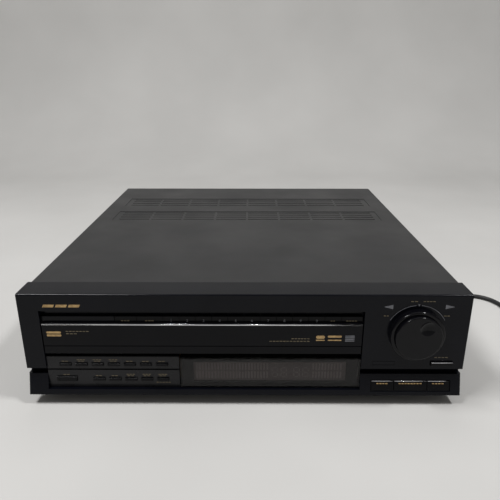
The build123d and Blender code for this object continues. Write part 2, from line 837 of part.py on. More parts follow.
def pinion():
    """Loading gear: spur teeth above, belt pulley below, one bore through both."""
    base_radius = pinion_radius * cos(radians(pressure_angle))
    outer_radius = pinion_radius + tooth_module
    root_radius = pinion_radius - 1.25 * tooth_module
    half_angle = (tooth_pitch / 2 - tooth_backlash / 2) / 2 / pinion_radius
    at_pitch = involute_flank(base_radius, pinion_radius)
    steps = 4
    flank = []
    for step in range(steps + 1):
        radius = base_radius + (outer_radius - base_radius) * step / steps
        flank.append((radius, half_angle + at_pitch - involute_flank(base_radius, radius)))
    points = []
    for number in range(pinion_teeth):
        # a gap between two teeth faces the rack's middle tooth at rest
        middle = 2 * pi * (number + 0.5) / pinion_teeth
        points.append((root_radius, middle - flank[0][1]))
        points.extend([(radius, middle - angle) for radius, angle in flank])
        points.extend([(radius, middle + angle) for radius, angle in reversed(flank)])
        points.append((root_radius, middle + flank[0][1]))
    gear_bottom = rack_bottom + slide_gap
    outline = Polyline(*[(pinion_x + r * cos(a), pinion_y + r * sin(a), gear_bottom)
                         for r, a in points], close=True)
    teeth = extrude(make_face(outline), amount=pinion_height, dir=(0, 0, 1))
    pulley_bottom = belt_z - 1.5
    pulley_top = belt_z + belt_height + 1.5
    pulley = post(pinion_x, pinion_y, belt_pulley_radius + 1.5, pulley_bottom, pulley_top)
    groove = post(pinion_x, pinion_y, belt_pulley_radius + 3, belt_z - 0.5, belt_z + belt_height + 0.5)
    pulley -= groove - post(pinion_x, pinion_y, belt_pulley_radius, belt_z - 1, belt_z + belt_height + 1)
    hub = post(pinion_x, pinion_y, root_radius - 1, pulley_top, gear_bottom)
    bore = post(pinion_x, pinion_y, pinion_bore + spin_gap, pulley_bottom - 1, tray_bottom)
    return joined([teeth, pulley, hub]) - bore


def loading_motor():
    """Motor can with its small pulley, and the belt that runs round both pulleys."""
    x = pinion_x - motor_offset
    y = pinion_y
    base = foot_height + chassis_sheet + seat_gap
    can = post(x, y, loading_motor_radius, base, belt_z - 3)
    can += post(x, y, motor_pulley_radius, belt_z - 3, belt_z + belt_height + 1)
    can += post(x, y, motor_pulley_radius + 2, belt_z + belt_height + 1, belt_z + belt_height + 2)
    inner_gap = seat_gap
    loops = []
    for extra in (inner_gap, inner_gap + belt_thickness):
        big = Pos(pinion_x, y) * Circle(belt_pulley_radius + slide_gap + extra)
        small = Pos(x, y) * Circle(motor_pulley_radius + extra)
        loops.append(make_hull(big.edges() + small.edges()))
    belt = extrude(Pos(0, 0, belt_z) * (loops[1] - loops[0]), amount=belt_height)
    return group([can, belt])


def disc_tray():
    """Tray with three stepped disc recesses, the slot for turntable and pickup, and the rack."""
    slab = block(tray_centre_x - tray_half_width, tray_centre_x + tray_half_width,
                 tray_front, tray_rear, tray_bottom, tray_top)
    slab = fillet(slab.edges().filter_by(Axis.Z).sort_by(Axis.Y)[2:], 6.0)
    floors = ((recess_radius, tray_floor), (eight_inch_diameter / 2, tray_floor - recess_step),
              (five_inch_diameter / 2, tray_floor - 2 * recess_step))
    for radius, floor in floors:
        slab -= post(tray_centre_x, disc_centre_y, radius, floor, tray_top + 1)
    slab -= post(tray_centre_x, disc_centre_y, tray_slot_half_width, tray_bottom - 1, tray_top + 1)
    slab -= block(tray_centre_x - tray_slot_half_width, tray_centre_x + tray_slot_half_width,
                  disc_centre_y, tray_slot_rear, tray_bottom - 1, tray_top + 1)
    return slab + rack()


# ---------------------------------------------------------------- chassis and case
def chassis_pan():
    """Flat sheets of the folded steel pan: floor, two side flanges and the rear flange."""
    low = foot_height
    top = foot_height + chassis_sheet
    half = chassis_half_width
    sheet = chassis_sheet
    floor = block(-half, half, chassis_front, chassis_rear, low, top)
    flanges = []
    for x0 in (-half, half - sheet):
        flange = block(x0, x0 + sheet, chassis_front, chassis_rear, top, chassis_flange_top)
        for y in side_screw_ys:
            flange -= rod_x(y, side_screw_z, screw_hole_radius, x0 - 1, x0 + sheet + 1)
        flanges.append(flange)
    rear = block(-half + sheet, half - sheet, chassis_rear - sheet, chassis_rear,
                 top, rear_flange_top)
    for x in rear_screw_xs:
        rear -= rod_y(x, rear_screw_z, screw_hole_radius, chassis_rear - 5, chassis_rear + 1)
    return [floor, rear] + flanges


def front_bulkhead():
    """Upright steel sheet across the chassis's front, with the drawer's and the wires' openings."""
    low = foot_height + chassis_sheet + seat_gap
    half = chassis_half_width - chassis_sheet - seat_gap
    front = chassis_front
    back = front + chassis_sheet
    wall = block(-half, half, front, back, low, chassis_wall_top)
    opening_x = tray_half_width + 2 * slide_gap
    for z0, z1 in ((rack_bottom - 2, drawer_front_top), (low + 8, rack_bottom - 6)):
        wall -= block(tray_centre_x - opening_x, tray_centre_x + opening_x, front - 1, back + 1,
                      z0, z1)
    return wall


def tray_rail(side):
    """Rail beside the tray with the ledge that carries the tray's edge; side is -1 or 1."""
    floor = foot_height + chassis_sheet
    y0 = chassis_front + chassis_sheet + seat_gap
    seat = tray_bottom - slide_gap
    wall_x = tray_centre_x + side * (tray_half_width + slide_gap + rail_wall / 2)
    ledge_x = wall_x - side * (rail_wall / 2 + rail_ledge / 2)
    wall = block(wall_x - rail_wall / 2, wall_x + rail_wall / 2, y0, rail_rear,
                 floor, tray_bottom + rail_rise)
    return wall + block(ledge_x - rail_ledge / 2, ledge_x + rail_ledge / 2, y0, rail_rear,
                        seat - rail_wall, seat)


def hinge_bracket_plate(side):
    """Upright plate with the bore of the clamp bridge's hinge; side is -1 or 1."""
    inner = tray_centre_x + side * (bridge_half_width + 2)
    outer = inner + side * hinge_bracket
    plate = block(min(inner, outer), max(inner, outer), hinge_y - 8, hinge_y + 8,
                  foot_height + chassis_sheet, hinge_z + 6)
    return plate - rod_x(hinge_y, hinge_z, hinge_pin_radius + spin_gap,
                         min(inner, outer) - 1, max(inner, outer) + 1)


def chassis():
    """Steel base: the folded pan, and the rails, posts and brackets that stand on its floor."""
    floor = foot_height + chassis_sheet
    pieces = chassis_pan()
    for side in (-1, 1):
        pieces.append(tray_rail(side))
        pieces.append(hinge_bracket_plate(side))
    # the lifting mechanism slides on four posts and rests on their collars
    for x, y in guide_post_places():
        pieces.append(post(x, y, post_radius, floor, post_top)
                      + post(x, y, post_collar, floor, frame_bottom - slide_gap))
    pieces.append(post(pinion_x, pinion_y, pinion_bore, floor, rack_bottom + pinion_height)
                  + post(pinion_x, pinion_y, pinion_bore + 2, floor, belt_z - 1.5 - slide_gap))
    for x, y in standoff_places():
        pieces.append(post(x, y, standoff_radius, floor, board_height - seat_gap))
    return group(pieces)


def guide_post_places():
    """Centres of the four guide posts of the lifting mechanism."""
    dx = frame_half_width - post_margin
    return [(tray_centre_x + sx * dx, y) for sx in (-1, 1)
            for y in (frame_front + post_margin, frame_rear - post_margin)]


def standoff_places():
    """Centres of the posts under the main board."""
    inset = standoff_inset
    return [(board_left + inset, board_front + inset), (board_right - inset, board_front + inset),
            (board_right - inset, board_rear - inset), (rear_board_left + inset, board_rear - inset),
            (rear_board_left + inset, rear_board_front + inset)]


def vent_slots(first_y):
    """One group of long slots across the cover, broken by narrow bridges."""
    bay = 2 * vent_half_width / vent_bays
    slots = []
    for line in range(vent_lines):
        y = first_y + line * vent_pitch
        for number in range(vent_bays):
            x0 = -vent_half_width + number * bay + vent_bridge / 2
            slots.append(block(x0, x0 + bay - vent_bridge, y - vent_slot / 2, y + vent_slot / 2,
                               cover_top - cover_sheet - 1, cover_top + 1))
    return slots


def cover():
    """Folded steel cover: top, two sides, a hem at the rear, embossed vents and screw holes."""
    half = cover_half_width
    sheet = cover_sheet
    front = bezel_depth + slide_gap
    skin = block(-half, half, front, rear_plane, cover_bottom, cover_top)
    top_corners = skin.edges().filter_by(Axis.Y).sort_by(Axis.Z)[-2:]
    skin = fillet(top_corners, 1.8)
    skin -= block(-half + sheet, half - sheet, front - 1, rear_plane + 1,
                  cover_bottom - 1, cover_top - sheet)
    skin += block(-half + sheet, half - sheet, rear_plane - sheet, rear_plane,
                  cover_top - sheet - hem_height, cover_top - sheet)
    for first_y in (rear_plane - front_vent_margin, rear_plane - rear_vent_margin):
        span = (vent_lines - 1) * vent_pitch
        skin -= block(-vent_half_width - vent_border, vent_half_width + vent_border,
                      first_y - vent_border, first_y + span + vent_border,
                      cover_top - vent_emboss, cover_top + 1)
        skin = skin.cut(*vent_slots(first_y))
    for y in side_screw_ys:
        skin -= rod_x(y, side_screw_z, screw_hole_radius, -half_width, half_width)
    return skin


def socket_places():
    """Centre of each rear socket."""
    width = (socket_columns - 1) * socket_pitch
    return [(number * socket_pitch - width / 2, z) for z in socket_rows_z
            for number in range(socket_columns)]


def rear_panel():
    """Rear wall with its holes for sockets, lead and screws, and an upright vent grille."""
    wall = block(-panel_half_width, panel_half_width, panel_plane, panel_back,
                 cover_bottom + 0.4, cover_top - cover_sheet - seat_gap)
    holes = [rod_y(x, z, socket_radius + seat_gap, panel_plane - 1, panel_back + 1)
             for x, z in socket_places()]
    holes.append(rod_y(gland_x, gland_z, gland_root_radius + gland_hole_gap,
                       panel_plane - 1, panel_back + 1))
    for x in rear_screw_xs:
        holes.append(rod_y(x, rear_screw_z, screw_hole_radius, panel_plane - 1, panel_back + 1))
    for number in range(grille_slots):
        x = transformer_x + (number - (grille_slots - 1) / 2) * grille_slot_pitch
        if x - grille_slot_width > -panel_half_width:
            holes.append(block(x - grille_slot_width / 2, x + grille_slot_width / 2,
                               panel_plane - 1, panel_back + 1,
                               grille_slot_top - grille_slot_height, grille_slot_top))
    return wall.cut(*holes)


def rear_sockets():
    """Block of coaxial sockets that stands on the rear board; barrels pass the rear panel."""
    base = block(-socket_block_half, socket_block_half, panel_plane - socket_block_depth,
                 panel_plane - seat_gap, board_height + board_sheet + seat_gap,
                 socket_rows_z[1] + socket_block_margin)
    barrels = []
    bores = []
    for x, z in socket_places():
        barrels.append(rod_y(x, z, socket_radius, panel_plane - seat_gap, socket_end))
        collar = panel_back + seat_gap
        barrels.append(rod_y(x, z, socket_collar_radius, collar, collar + socket_collar))
        bores.append(rod_y(x, z, socket_bore, socket_end - socket_bore_depth, socket_end + 1))
    return base.fuse(*barrels).cut(*bores)


def feet():
    """Four round feet, a little wider at the top."""
    shapes = []
    for sx in (-1, 1):
        for y in (foot_front_y, foot_rear_y):
            cone = Cone(foot_radius - foot_taper, foot_radius, foot_height)
            cone = fillet(cone.edges().sort_by(Axis.Z)[:1], 1.0)
            shapes.append(Pos(sx * foot_x, y, foot_height / 2) * cone)
    return group(shapes)


def case_screws():
    """Screws of the cover's sides and of the rear panel."""
    shapes = []
    for side in (-1, 1):
        for y in side_screw_ys:
            face = side * cover_half_width
            head = rod_x(y, side_screw_z, screw_head_radius,
                         min(face, face + side * screw_head_height),
                         max(face, face + side * screw_head_height))
            inner = face - side * screw_shank_length
            shank = rod_x(y, side_screw_z, screw_shank_radius, min(face, inner), max(face, inner))
            shapes.append(head + shank)
    for x in rear_screw_xs:
        head = rod_y(x, rear_screw_z, screw_head_radius, panel_back, panel_back + screw_head_height)
        shank = rod_y(x, rear_screw_z, screw_shank_radius, panel_back - screw_shank_length, panel_back)
        shapes.append(head + shank)
    return group(shapes)


# ---------------------------------------------------------------- mechanism
def mechanism_frame():
    """Lifting plate with guide holes, the two pickup rods in their blocks, and the spindle motor."""
    plate = block(tray_centre_x - frame_half_width, tray_centre_x + frame_half_width,
                  frame_front, frame_rear, frame_bottom, frame_top)
    plate = fillet(plate.edges().filter_by(Axis.Z), 6.0)
    rod_rear = rod_block_front + 2 * rod_block_length + carriage_length + carriage_travel + 2 * slide_gap
    for y0 in (rod_block_front, rod_rear - rod_block_length):
        plate += block(tray_centre_x - rod_block_half_width, tray_centre_x + rod_block_half_width,
                       y0, y0 + rod_block_length, frame_top, rod_block_top)
    for x, y in guide_post_places():
        plate -= post(x, y, post_radius + spin_gap, frame_bottom - 1, frame_top + 1)
    plate -= post(tray_centre_x, disc_centre_y, motor_boss_radius + seat_gap,
                  frame_bottom - 1, frame_top + 1)
    rods = []
    for side in (-1, 1):
        x = tray_centre_x + side * guide_rod_x
        plate -= rod_y(x, guide_rod_z, guide_rod_radius + seat_gap / 2,
                       rod_block_front - 1, rod_rear + 1)
        rods.append(rod_y(x, guide_rod_z, guide_rod_radius, rod_block_front, rod_rear))
    motor = post(tray_centre_x, disc_centre_y, motor_radius, motor_bottom, frame_bottom - seat_gap)
    motor = fillet(motor.edges().sort_by(Axis.Z)[:1], 2.0)
    motor += post(tray_centre_x, disc_centre_y, motor_boss_radius, frame_bottom - seat_gap,
                  turntable_bottom - slide_gap)
    motor -= post(tray_centre_x, disc_centre_y, spindle_radius + spin_gap,
                  spindle_end - slide_gap, turntable_bottom)
    return group([plate, motor] + rods)


def turntable():
    """Disc platform with a tapered hub and its spindle."""
    top = turntable_bottom + turntable_sheet
    plate = post(tray_centre_x, disc_centre_y, turntable_radius, turntable_bottom, top)
    hub = Pos(tray_centre_x, disc_centre_y, top + hub_height / 2) * Cone(
        hub_radius, hub_radius - hub_chamfer, hub_height)
    shaft = post(tray_centre_x, disc_centre_y, spindle_radius, spindle_end, turntable_bottom)
    return joined([plate, hub, shaft])


def pickup_carriage():
    """Sled on two rods, with the lens on a raised round seat."""
    y0 = rod_block_front + rod_block_length + slide_gap
    y1 = y0 + carriage_length
    sled = block(tray_centre_x - carriage_half_width, tray_centre_x + carriage_half_width,
                 y0, y1, carriage_bottom, carriage_top)
    sled = fillet(sled.edges().filter_by(Axis.Z), 3.0)
    middle = (y0 + y1) / 2
    sled += post(tray_centre_x, middle, lens_radius + 4, carriage_top, lens_top - 1.5)
    sled += post(tray_centre_x, middle, lens_radius, lens_top - 1.5, lens_top)
    for side in (-1, 1):
        sled -= rod_y(tray_centre_x + side * guide_rod_x, guide_rod_z,
                      guide_rod_radius + spin_gap, y0 - 1, y1 + 1)
    return sled


def clamp_bridge():
    """Folded bridge over the tray, hinged at its rear on two pins."""
    x0 = tray_centre_x - bridge_half_width
    x1 = tray_centre_x + bridge_half_width
    top = bridge_bottom + bridge_sheet
    plate = block(x0, x1, bridge_front, bridge_rear, bridge_bottom, top)
    for x in (x0, x1 - bridge_sheet):
        plate += block(x, x + bridge_sheet, bridge_front, bridge_rear, bridge_bottom,
                       top + bridge_flange)
    plate -= post(tray_centre_x, disc_centre_y, clamp_neck_radius + spin_gap,
                  bridge_bottom - 1, top + 1)
    for side in (-1, 1):
        inner = tray_centre_x + side * (bridge_half_width - bridge_sheet)
        outer = tray_centre_x + side * (bridge_half_width + 2 + hinge_bracket)
        plate += rod_x(hinge_y, hinge_z, hinge_pin_radius, min(inner, outer), max(inner, outer))
    return plate


def disc_clamp():
    """Clamp that hangs in the bridge and turns with the disc; hollow below for the hub."""
    neck_top = bridge_bottom + bridge_sheet + slide_gap
    shape = post(tray_centre_x, disc_centre_y, clamp_radius, clamp_bottom, bridge_bottom - slide_gap)
    shape -= post(tray_centre_x, disc_centre_y, clamp_recess_radius, clamp_bottom - 1,
                  clamp_bottom + clamp_recess_depth)
    shape += post(tray_centre_x, disc_centre_y, clamp_neck_radius, bridge_bottom - slide_gap, neck_top)
    return shape + post(tray_centre_x, disc_centre_y, clamp_cap_radius, neck_top,
                        neck_top + clamp_cap_height)


def main_board():
    """L-shaped board along the right side and the rear, with its larger components."""
    low = board_height
    top = board_height + board_sheet
    board = block(board_left, board_right, board_front, board_rear, low, top)
    board += block(rear_board_left, board_right, rear_board_front, board_rear, low, top)
    parts = []
    chip_x = board_left + chip_inset
    capacitor_x = board_right - capacitor_inset
    for number in range(chip_count):
        y = board_front + chip_first + number * chip_pitch
        parts.append(block(chip_x, chip_x + chip_width, y, y + chip_length, top, top + chip_height))
        parts.append(post(capacitor_x, y + capacitor_offset, capacitor_radius,
                          top, top + capacitor_height))
        parts.append(post(capacitor_x, y + small_capacitor_offset, small_capacitor_radius,
                          top, top + small_capacitor_height))
    for number in range(rear_chip_count):
        x = rear_board_left + chip_inset + number * rear_chip_pitch
        y = rear_board_front + rear_chip_offset
        parts.append(block(x, x + rear_chip_width, y, y + rear_chip_length,
                           top, top + chip_height))
    sink_x = board_left + heat_sink_inset
    sink_y = board_front + heat_sink_offset
    parts.append(block(sink_x, sink_x + heat_sink_sheet, sink_y, sink_y + heat_sink_length,
                       top, top + heat_sink_height))
    return board.fuse(*parts)


def power_transformer():
    """Laminated core with its winding and mounting feet."""
    x = transformer_x
    y = transformer_y
    base = foot_height + chassis_sheet
    core = block(x - core_length / 2, x + core_length / 2, y - core_depth / 2, y + core_depth / 2,
                 base, base + core_height)
    lift_z = base + (core_height - winding_height) / 2
    winding = block(x - winding_length / 2, x + winding_length / 2, y - winding_depth / 2,
                    y + winding_depth / 2, lift_z, lift_z + winding_height)
    winding = fillet(winding.edges().filter_by(Axis.Z), 6.0)
    tabs = block(x - core_length / 2 - 8, x + core_length / 2 + 8, y - 8, y + 8, base, base + 1.6)
    return joined([core, winding, tabs])


# ---------------------------------------------------------------- mains lead
gland_end = rear_plane + gland_length
coil_start_x = 368.0
coil_start_y = 152.0
cord_route = [
    (gland_x, gland_end, gland_z),
    (gland_x, 512.0, gland_z),
    (177.0, 540.0, 22.0),
    (196.0, 563.0, 7.0),
    (226.0, 570.0, cord_z),
    (254.0, 556.0, cord_z),
    (270.0, 524.0, cord_z),
    (274.0, 478.0, cord_z),
    (268.0, 426.0, cord_z),
    (258.0, 372.0, cord_z),
    (260.0, 322.0, cord_z),
    (278.0, 275.0, cord_z),
    (311.0, 254.5, cord_z),
    (338.0, 257.0, cord_z),
    (355.4, 246.1, cord_z),
    (364.4, 227.7, cord_z),
    (365.4, 201.0, cord_z),
    (coil_start_x, 177.0, cord_z),
    (coil_start_x, coil_start_y, cord_z),
]


def corner_radii(points):
    """Bend radius at each inner point: 0.45 of the shorter run over the half turn's tangent."""
    share = 0.45
    radii = []
    for before, here, after in zip(points, points[1:], points[2:]):
        run_in = Vector(*here) - Vector(*before)
        run_out = Vector(*after) - Vector(*here)
        turn = radians(run_in.get_angle(run_out))
        radii.append(share * min(run_in.length, run_out.length) / tan(turn / 2))
    return radii


def tube_along(path):
    """Round tube of the lead's diameter along a path."""
    profile = Plane(origin=path @ 0, z_dir=path % 0) * Circle(cord_radius)
    return sweep(profile, path=path)


def power_cord():
    """Free stretch of the lead, from the strain relief to its coil."""
    radii = corner_radii(cord_route)
    print("cord radii", [round(radius, 1) for radius in radii])
    path = FilletPolyline(*cord_route, radius=radii)
    tube = tube_along(path)
    ideal = pi * cord_radius ** 2 * path.length
    print("cord length %.1f, volume over section times length %.4f" % (path.length, tube.volume / ideal))
    return tube


def coil_path():
    """Half turns inward on the lower layer, a climb, and half turns outward on the upper one."""
    edges = []
    lower = cord_z
    upper = cord_z + coil_pitch
    entry_y = coil_start_y - cord_diameter
    edges.append(Line((coil_start_x, coil_start_y, lower), (coil_start_x, entry_y, lower)))
    x = coil_start_x
    side = 1                # the half turn leads towards +X first, by way of -Y
    radius = coil_first_radius
    for number in range(coil_half_turns):
        centre = x + side * radius
        edges.append(ThreePointArc((x, entry_y, lower), (centre, entry_y - side * radius, lower),
                                   (centre + side * radius, entry_y, lower)))
        x = centre + side * radius
        side = -side
        radius -= coil_pitch / 2
    # the climb: two quarter turns in leaning planes, level where they begin and end
    centre = x + side * radius
    crest = sqrt(radius ** 2 + coil_pitch ** 2 / 4)
    middle = (centre, entry_y - side * crest, (lower + upper) / 2)
    first = (x, entry_y, lower)
    last = (centre + side * radius, entry_y, upper)
    down = (0, -side, 0)
    across = (side * radius, 0, coil_pitch / 2)
    edges.append(TangentArc(first, middle, tangent=down))
    edges.append(TangentArc(middle, last, tangent=across))
    x = last[0]
    side = -side
    for number in range(coil_half_turns):
        radius += coil_pitch / 2
        centre = x + side * radius
        edges.append(ThreePointArc((x, entry_y, upper), (centre, entry_y - side * radius, upper),
                                   (centre + side * radius, entry_y, upper)))
        x = centre + side * radius
        side = -side
    # the tail bends away from the turns, so that the plug lies clear of them
    turn = radians(tail_turn)
    heading = -side
    bend_x = x + tail_radius * (1 - cos(turn))
    bend_y = entry_y + heading * tail_radius * sin(turn)
    edges.append(TangentArc((x, entry_y, upper), (bend_x, bend_y, upper), tangent=(0, heading, 0)))
    end_x = bend_x + cord_diameter * sin(turn)
    end_y = bend_y + heading * cord_diameter * cos(turn)
    edges.append(Line((bend_x, bend_y, upper), (end_x, end_y, upper)))
    return edges, (end_x, end_y, upper)


def least_coil_gap(edges):
    """Least distance between the tube's surface and itself, on points along the path."""
    points = []
    length = 0.0
    for edge in edges:
        steps = max(4, int(edge.length / 3))
        for step in range(steps):
            share = step / steps
            points.append((length + share * edge.length, edge @ share))
        length += edge.length
    least = 1e9
    near = coil_first_radius
    for i, (place, point) in enumerate(points):
        for other_place, other in points[i + 1:]:
            if other_place - place > near:
                least = min(least, (point - other).length)
    return least - cord_diameter, length


def cord_coil():
    """Put-away length of the lead in neat turns of two layers."""
    edges, end = coil_path()
    gap, length = least_coil_gap(edges)
    print("coil length %.1f, least gap %.2f" % (length, gap))
    wire = Wire([piece.edge() for piece in edges])
    return tube_along(wire), end


def mains_plug(end):
    """Two-blade plug that lies on the floor beside the coil, its tail to the lead's end."""
    x, y, z = end
    half_height = z - floor_lift
    body = block(-plug_width / 2, plug_width / 2, 0, plug_length, -half_height, half_height)
    body = fillet(body.edges().filter_by(Axis.Y), plug_corner)
    body = chamfer(body.faces().sort_by(Axis.Y)[0].edges(), plug_shoulder)
    for side in (-1, 1):
        blade_x = side * blade_spacing / 2
        body += block(blade_x - blade_sheet / 2, blade_x + blade_sheet / 2, plug_length,
                      plug_length + blade_length, -blade_width / 2, blade_width / 2)
    return Pos(x, y, z) * Rot(0, 0, -tail_turn) * body


def strain_relief():
    """Tapered rubber gland with a flange inside the rear panel."""
    cone = cone_y(gland_x, gland_z, gland_root_radius, gland_tip_radius, panel_back, gland_end)
    neck = rod_y(gland_x, gland_z, gland_root_radius, panel_plane - 3, panel_back)
    flange = rod_y(gland_x, gland_z, gland_flange_radius, panel_plane - 3, panel_plane - seat_gap)
    return joined([cone, neck, flange])


# ---------------------------------------------------------------- write everything
write("front_bezel", bezel())
write("lower_bar", bar())
write("key_panel", key_panel())
write("display_window", display_window())
write("display_tube", display_tube())
write("drawer_front", drawer_front())
write("disc_tray", disc_tray())
write("loading_gear", pinion())
write("loading_motor", loading_motor())
write("jog_dial", jog_dial())
write("shuttle_ring", shuttle_ring())
write("circuit_boards", group([control_boards(), main_board()]))
write("chassis_base", chassis())
write("front_bulkhead", front_bulkhead())
write("top_cover", cover())
write("rear_panel", rear_panel())
write("rear_sockets", rear_sockets())
write("feet", feet())
write("case_screws", case_screws())
write("mechanism_frame", mechanism_frame())
write("turntable", turntable())
write("pickup_carriage", pickup_carriage())
write("clamp_bridge", clamp_bridge())
write("disc_clamp", disc_clamp())
write("power_transformer", power_transformer())
for key_name, key_left, key_right in row_key_spans():
    write(key_name, row_key(key_left, key_right))
for key_name, key_left, key_width, key_bottom, key_height in panel_key_boxes():
    write(key_name, panel_key(key_left, key_width, key_bottom, key_height,
                              panel_face - small_key_reach, panel_face + panel_sheet))
for key_name, key_left, key_right in transport_key_spans():
    write(key_name, transport_key(key_left, key_right))
write("open_close_key", panel_key(open_key_left, open_key_width, open_key_bottom, open_key_height,
                                  -open_key_reach, moulded_wall))
write("power_cord", power_cord())
coil_shape, coil_end = cord_coil()
write("cord_coil", coil_shape)
write("mains_plug", mains_plug(coil_end))
write("strain_relief", strain_relief())
print("drawer travel %.2f, middle of the player at y %.2f" % (drawer_travel, middle_y))
print("mechanism lifts %.1f, shuttle ring turns %.0f degrees each way" % (lift, ring_turn))
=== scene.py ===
# %% [markdown]
# # A front-loading player for 12-inch video discs
# The player is a wide dark box on four feet: a folded and painted steel cover, a black
# moulded front with a disc drawer, rows of small keys, a smoked display window and a jog
# dial inside a sprung ring.  The measured model already holds every working piece at its
# real size, so the lesson is about what a camera sees: finishes, printing, the display
# behind its window, the mains lead, and light.  Everything is in metres, +X to the right
# as you face the player, +Y to the rear, +Z up.

# %% Load the measured model
import math

import bmesh
import bpy
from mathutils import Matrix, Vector


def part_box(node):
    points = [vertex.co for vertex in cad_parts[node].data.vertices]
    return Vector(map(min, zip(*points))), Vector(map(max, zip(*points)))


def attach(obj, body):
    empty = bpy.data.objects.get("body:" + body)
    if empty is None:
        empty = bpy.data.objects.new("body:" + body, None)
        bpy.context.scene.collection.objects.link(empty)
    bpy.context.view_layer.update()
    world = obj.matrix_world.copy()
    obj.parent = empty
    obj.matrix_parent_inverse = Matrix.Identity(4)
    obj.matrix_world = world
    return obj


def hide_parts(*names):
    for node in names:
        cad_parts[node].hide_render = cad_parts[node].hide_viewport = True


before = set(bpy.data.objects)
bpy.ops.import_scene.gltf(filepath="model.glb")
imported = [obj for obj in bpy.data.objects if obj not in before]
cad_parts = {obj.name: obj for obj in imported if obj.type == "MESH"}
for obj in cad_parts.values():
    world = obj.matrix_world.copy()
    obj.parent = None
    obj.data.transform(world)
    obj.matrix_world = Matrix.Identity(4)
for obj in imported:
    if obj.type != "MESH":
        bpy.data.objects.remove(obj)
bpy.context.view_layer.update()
MM = 0.001
FACE_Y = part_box("front_bezel")[0][1]


# %% [markdown]
# ## Measuring from the front
# A designer measures this front from the bezel's face.  `at` turns millimetres across,
# behind the face and above the floor into a point of the model, and `edges` reads a
# node's box back in the same millimetres, so printing lands on the piece that carries it.

# %% Places in millimetres from the bezel's face
def at(x, behind, z):
    return Vector((x * MM, FACE_Y + behind * MM, z * MM))


def edges(node):
    low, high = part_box(node)
    low = (low[0] / MM, (low[1] - FACE_Y) / MM, low[2] / MM)
    high = (high[0] / MM, (high[1] - FACE_Y) / MM, high[2] / MM)
    return low, high


print("bezel", [[round(v, 1) for v in corner] for corner in edges("front_bezel")])

# %% [markdown]
# ## The camera
# The photograph was taken by hand, a little above and in front of the player, with a
# moderately wide lens.  Straight edges of known length fix the camera: its place in front
# of the bezel, how far it looks down, and the lens.  The picture is square, 500 by 500.

# %% Camera
EYE = (7.4, -442.6, 323.0)
LOOK_DOWN = 19.54
LOOK_ASIDE = -0.24
FOCAL_PIXELS = 512.2
PICTURE_SIZE = 500
SENSOR = 36.0

camera_data = bpy.data.cameras.new("front_camera")
camera_data.sensor_width = SENSOR
camera_data.lens = SENSOR * FOCAL_PIXELS / PICTURE_SIZE
camera_data.clip_start = 0.01
camera_data.clip_end = 50.0
camera = bpy.data.objects.new("front_camera", camera_data)
camera.location = at(*EYE)
camera.rotation_euler = (math.radians(90 - LOOK_DOWN), 0, math.radians(-LOOK_ASIDE))
bpy.context.scene.collection.objects.link(camera)
bpy.context.scene.camera = camera
print("lens %.2f mm" % camera_data.lens)


# %% [markdown]
# ## The mains lead
# A mains lead is a fixed length of round, slightly springy cable.  Here it leaves the
# rear through a tapered gland, drops to the floor, wanders forward beside the case, turns
# once towards the viewer and ends in a tied coil, well outside the picture.  A NURBS curve
# of order 3 follows its listed points smoothly; the coil's points come from half turns
# whose radius shrinks steadily and then grows again one layer up.  The bevel is one metre
# deep and each point's radius scales it to the cable's, so that the curve's box is as tight
# as the cable.

# %% Route of the lead
LEAD_DIAMETER = 5.8
LEAD_Z = LEAD_DIAMETER / 2 + 0.05
GLAND = (170.0, 486.0, 36.0)
COIL_START = (368.0, 152.0)
COIL_PITCH = 6.4
COIL_RADIUS = 41.0
COIL_HALF_TURNS = 5
TAIL_RADIUS = 30.0
TAIL_TURN = math.radians(50.0)
STEPS = 8
UNIT_BEVEL = 1.0

route = [
    GLAND,
    (170.0, 512.0, 36.0),
    (177.0, 540.0, 22.0),
    (196.0, 563.0, 7.0),
    (226.0, 570.0, LEAD_Z),
    (254.0, 556.0, LEAD_Z),
    (270.0, 524.0, LEAD_Z),
    (274.0, 478.0, LEAD_Z),
    (268.0, 426.0, LEAD_Z),
    (258.0, 372.0, LEAD_Z),
    (260.0, 322.0, LEAD_Z),
    (278.0, 275.0, LEAD_Z),
    (311.0, 254.5, LEAD_Z),
    (338.0, 257.0, LEAD_Z),
    (355.4, 246.1, LEAD_Z),
    (364.4, 227.7, LEAD_Z),
    (365.4, 201.0, LEAD_Z),
    (368.0, 177.0, LEAD_Z),
]


def half_turn(x, y, side, radius, z0, z1):
    """Points of half a turn that starts at (x, y) and leads towards side."""
    centre = x + side * radius
    reach = radius / math.cos(math.pi / 2 / STEPS)
    points = []
    for step in range(STEPS):
        share = (step + 0.5) / STEPS
        turn = math.pi * share
        points.append((centre - side * reach * math.cos(turn),
                       y - side * reach * math.sin(turn), z0 + (z1 - z0) * share))
    return points, centre + side * radius


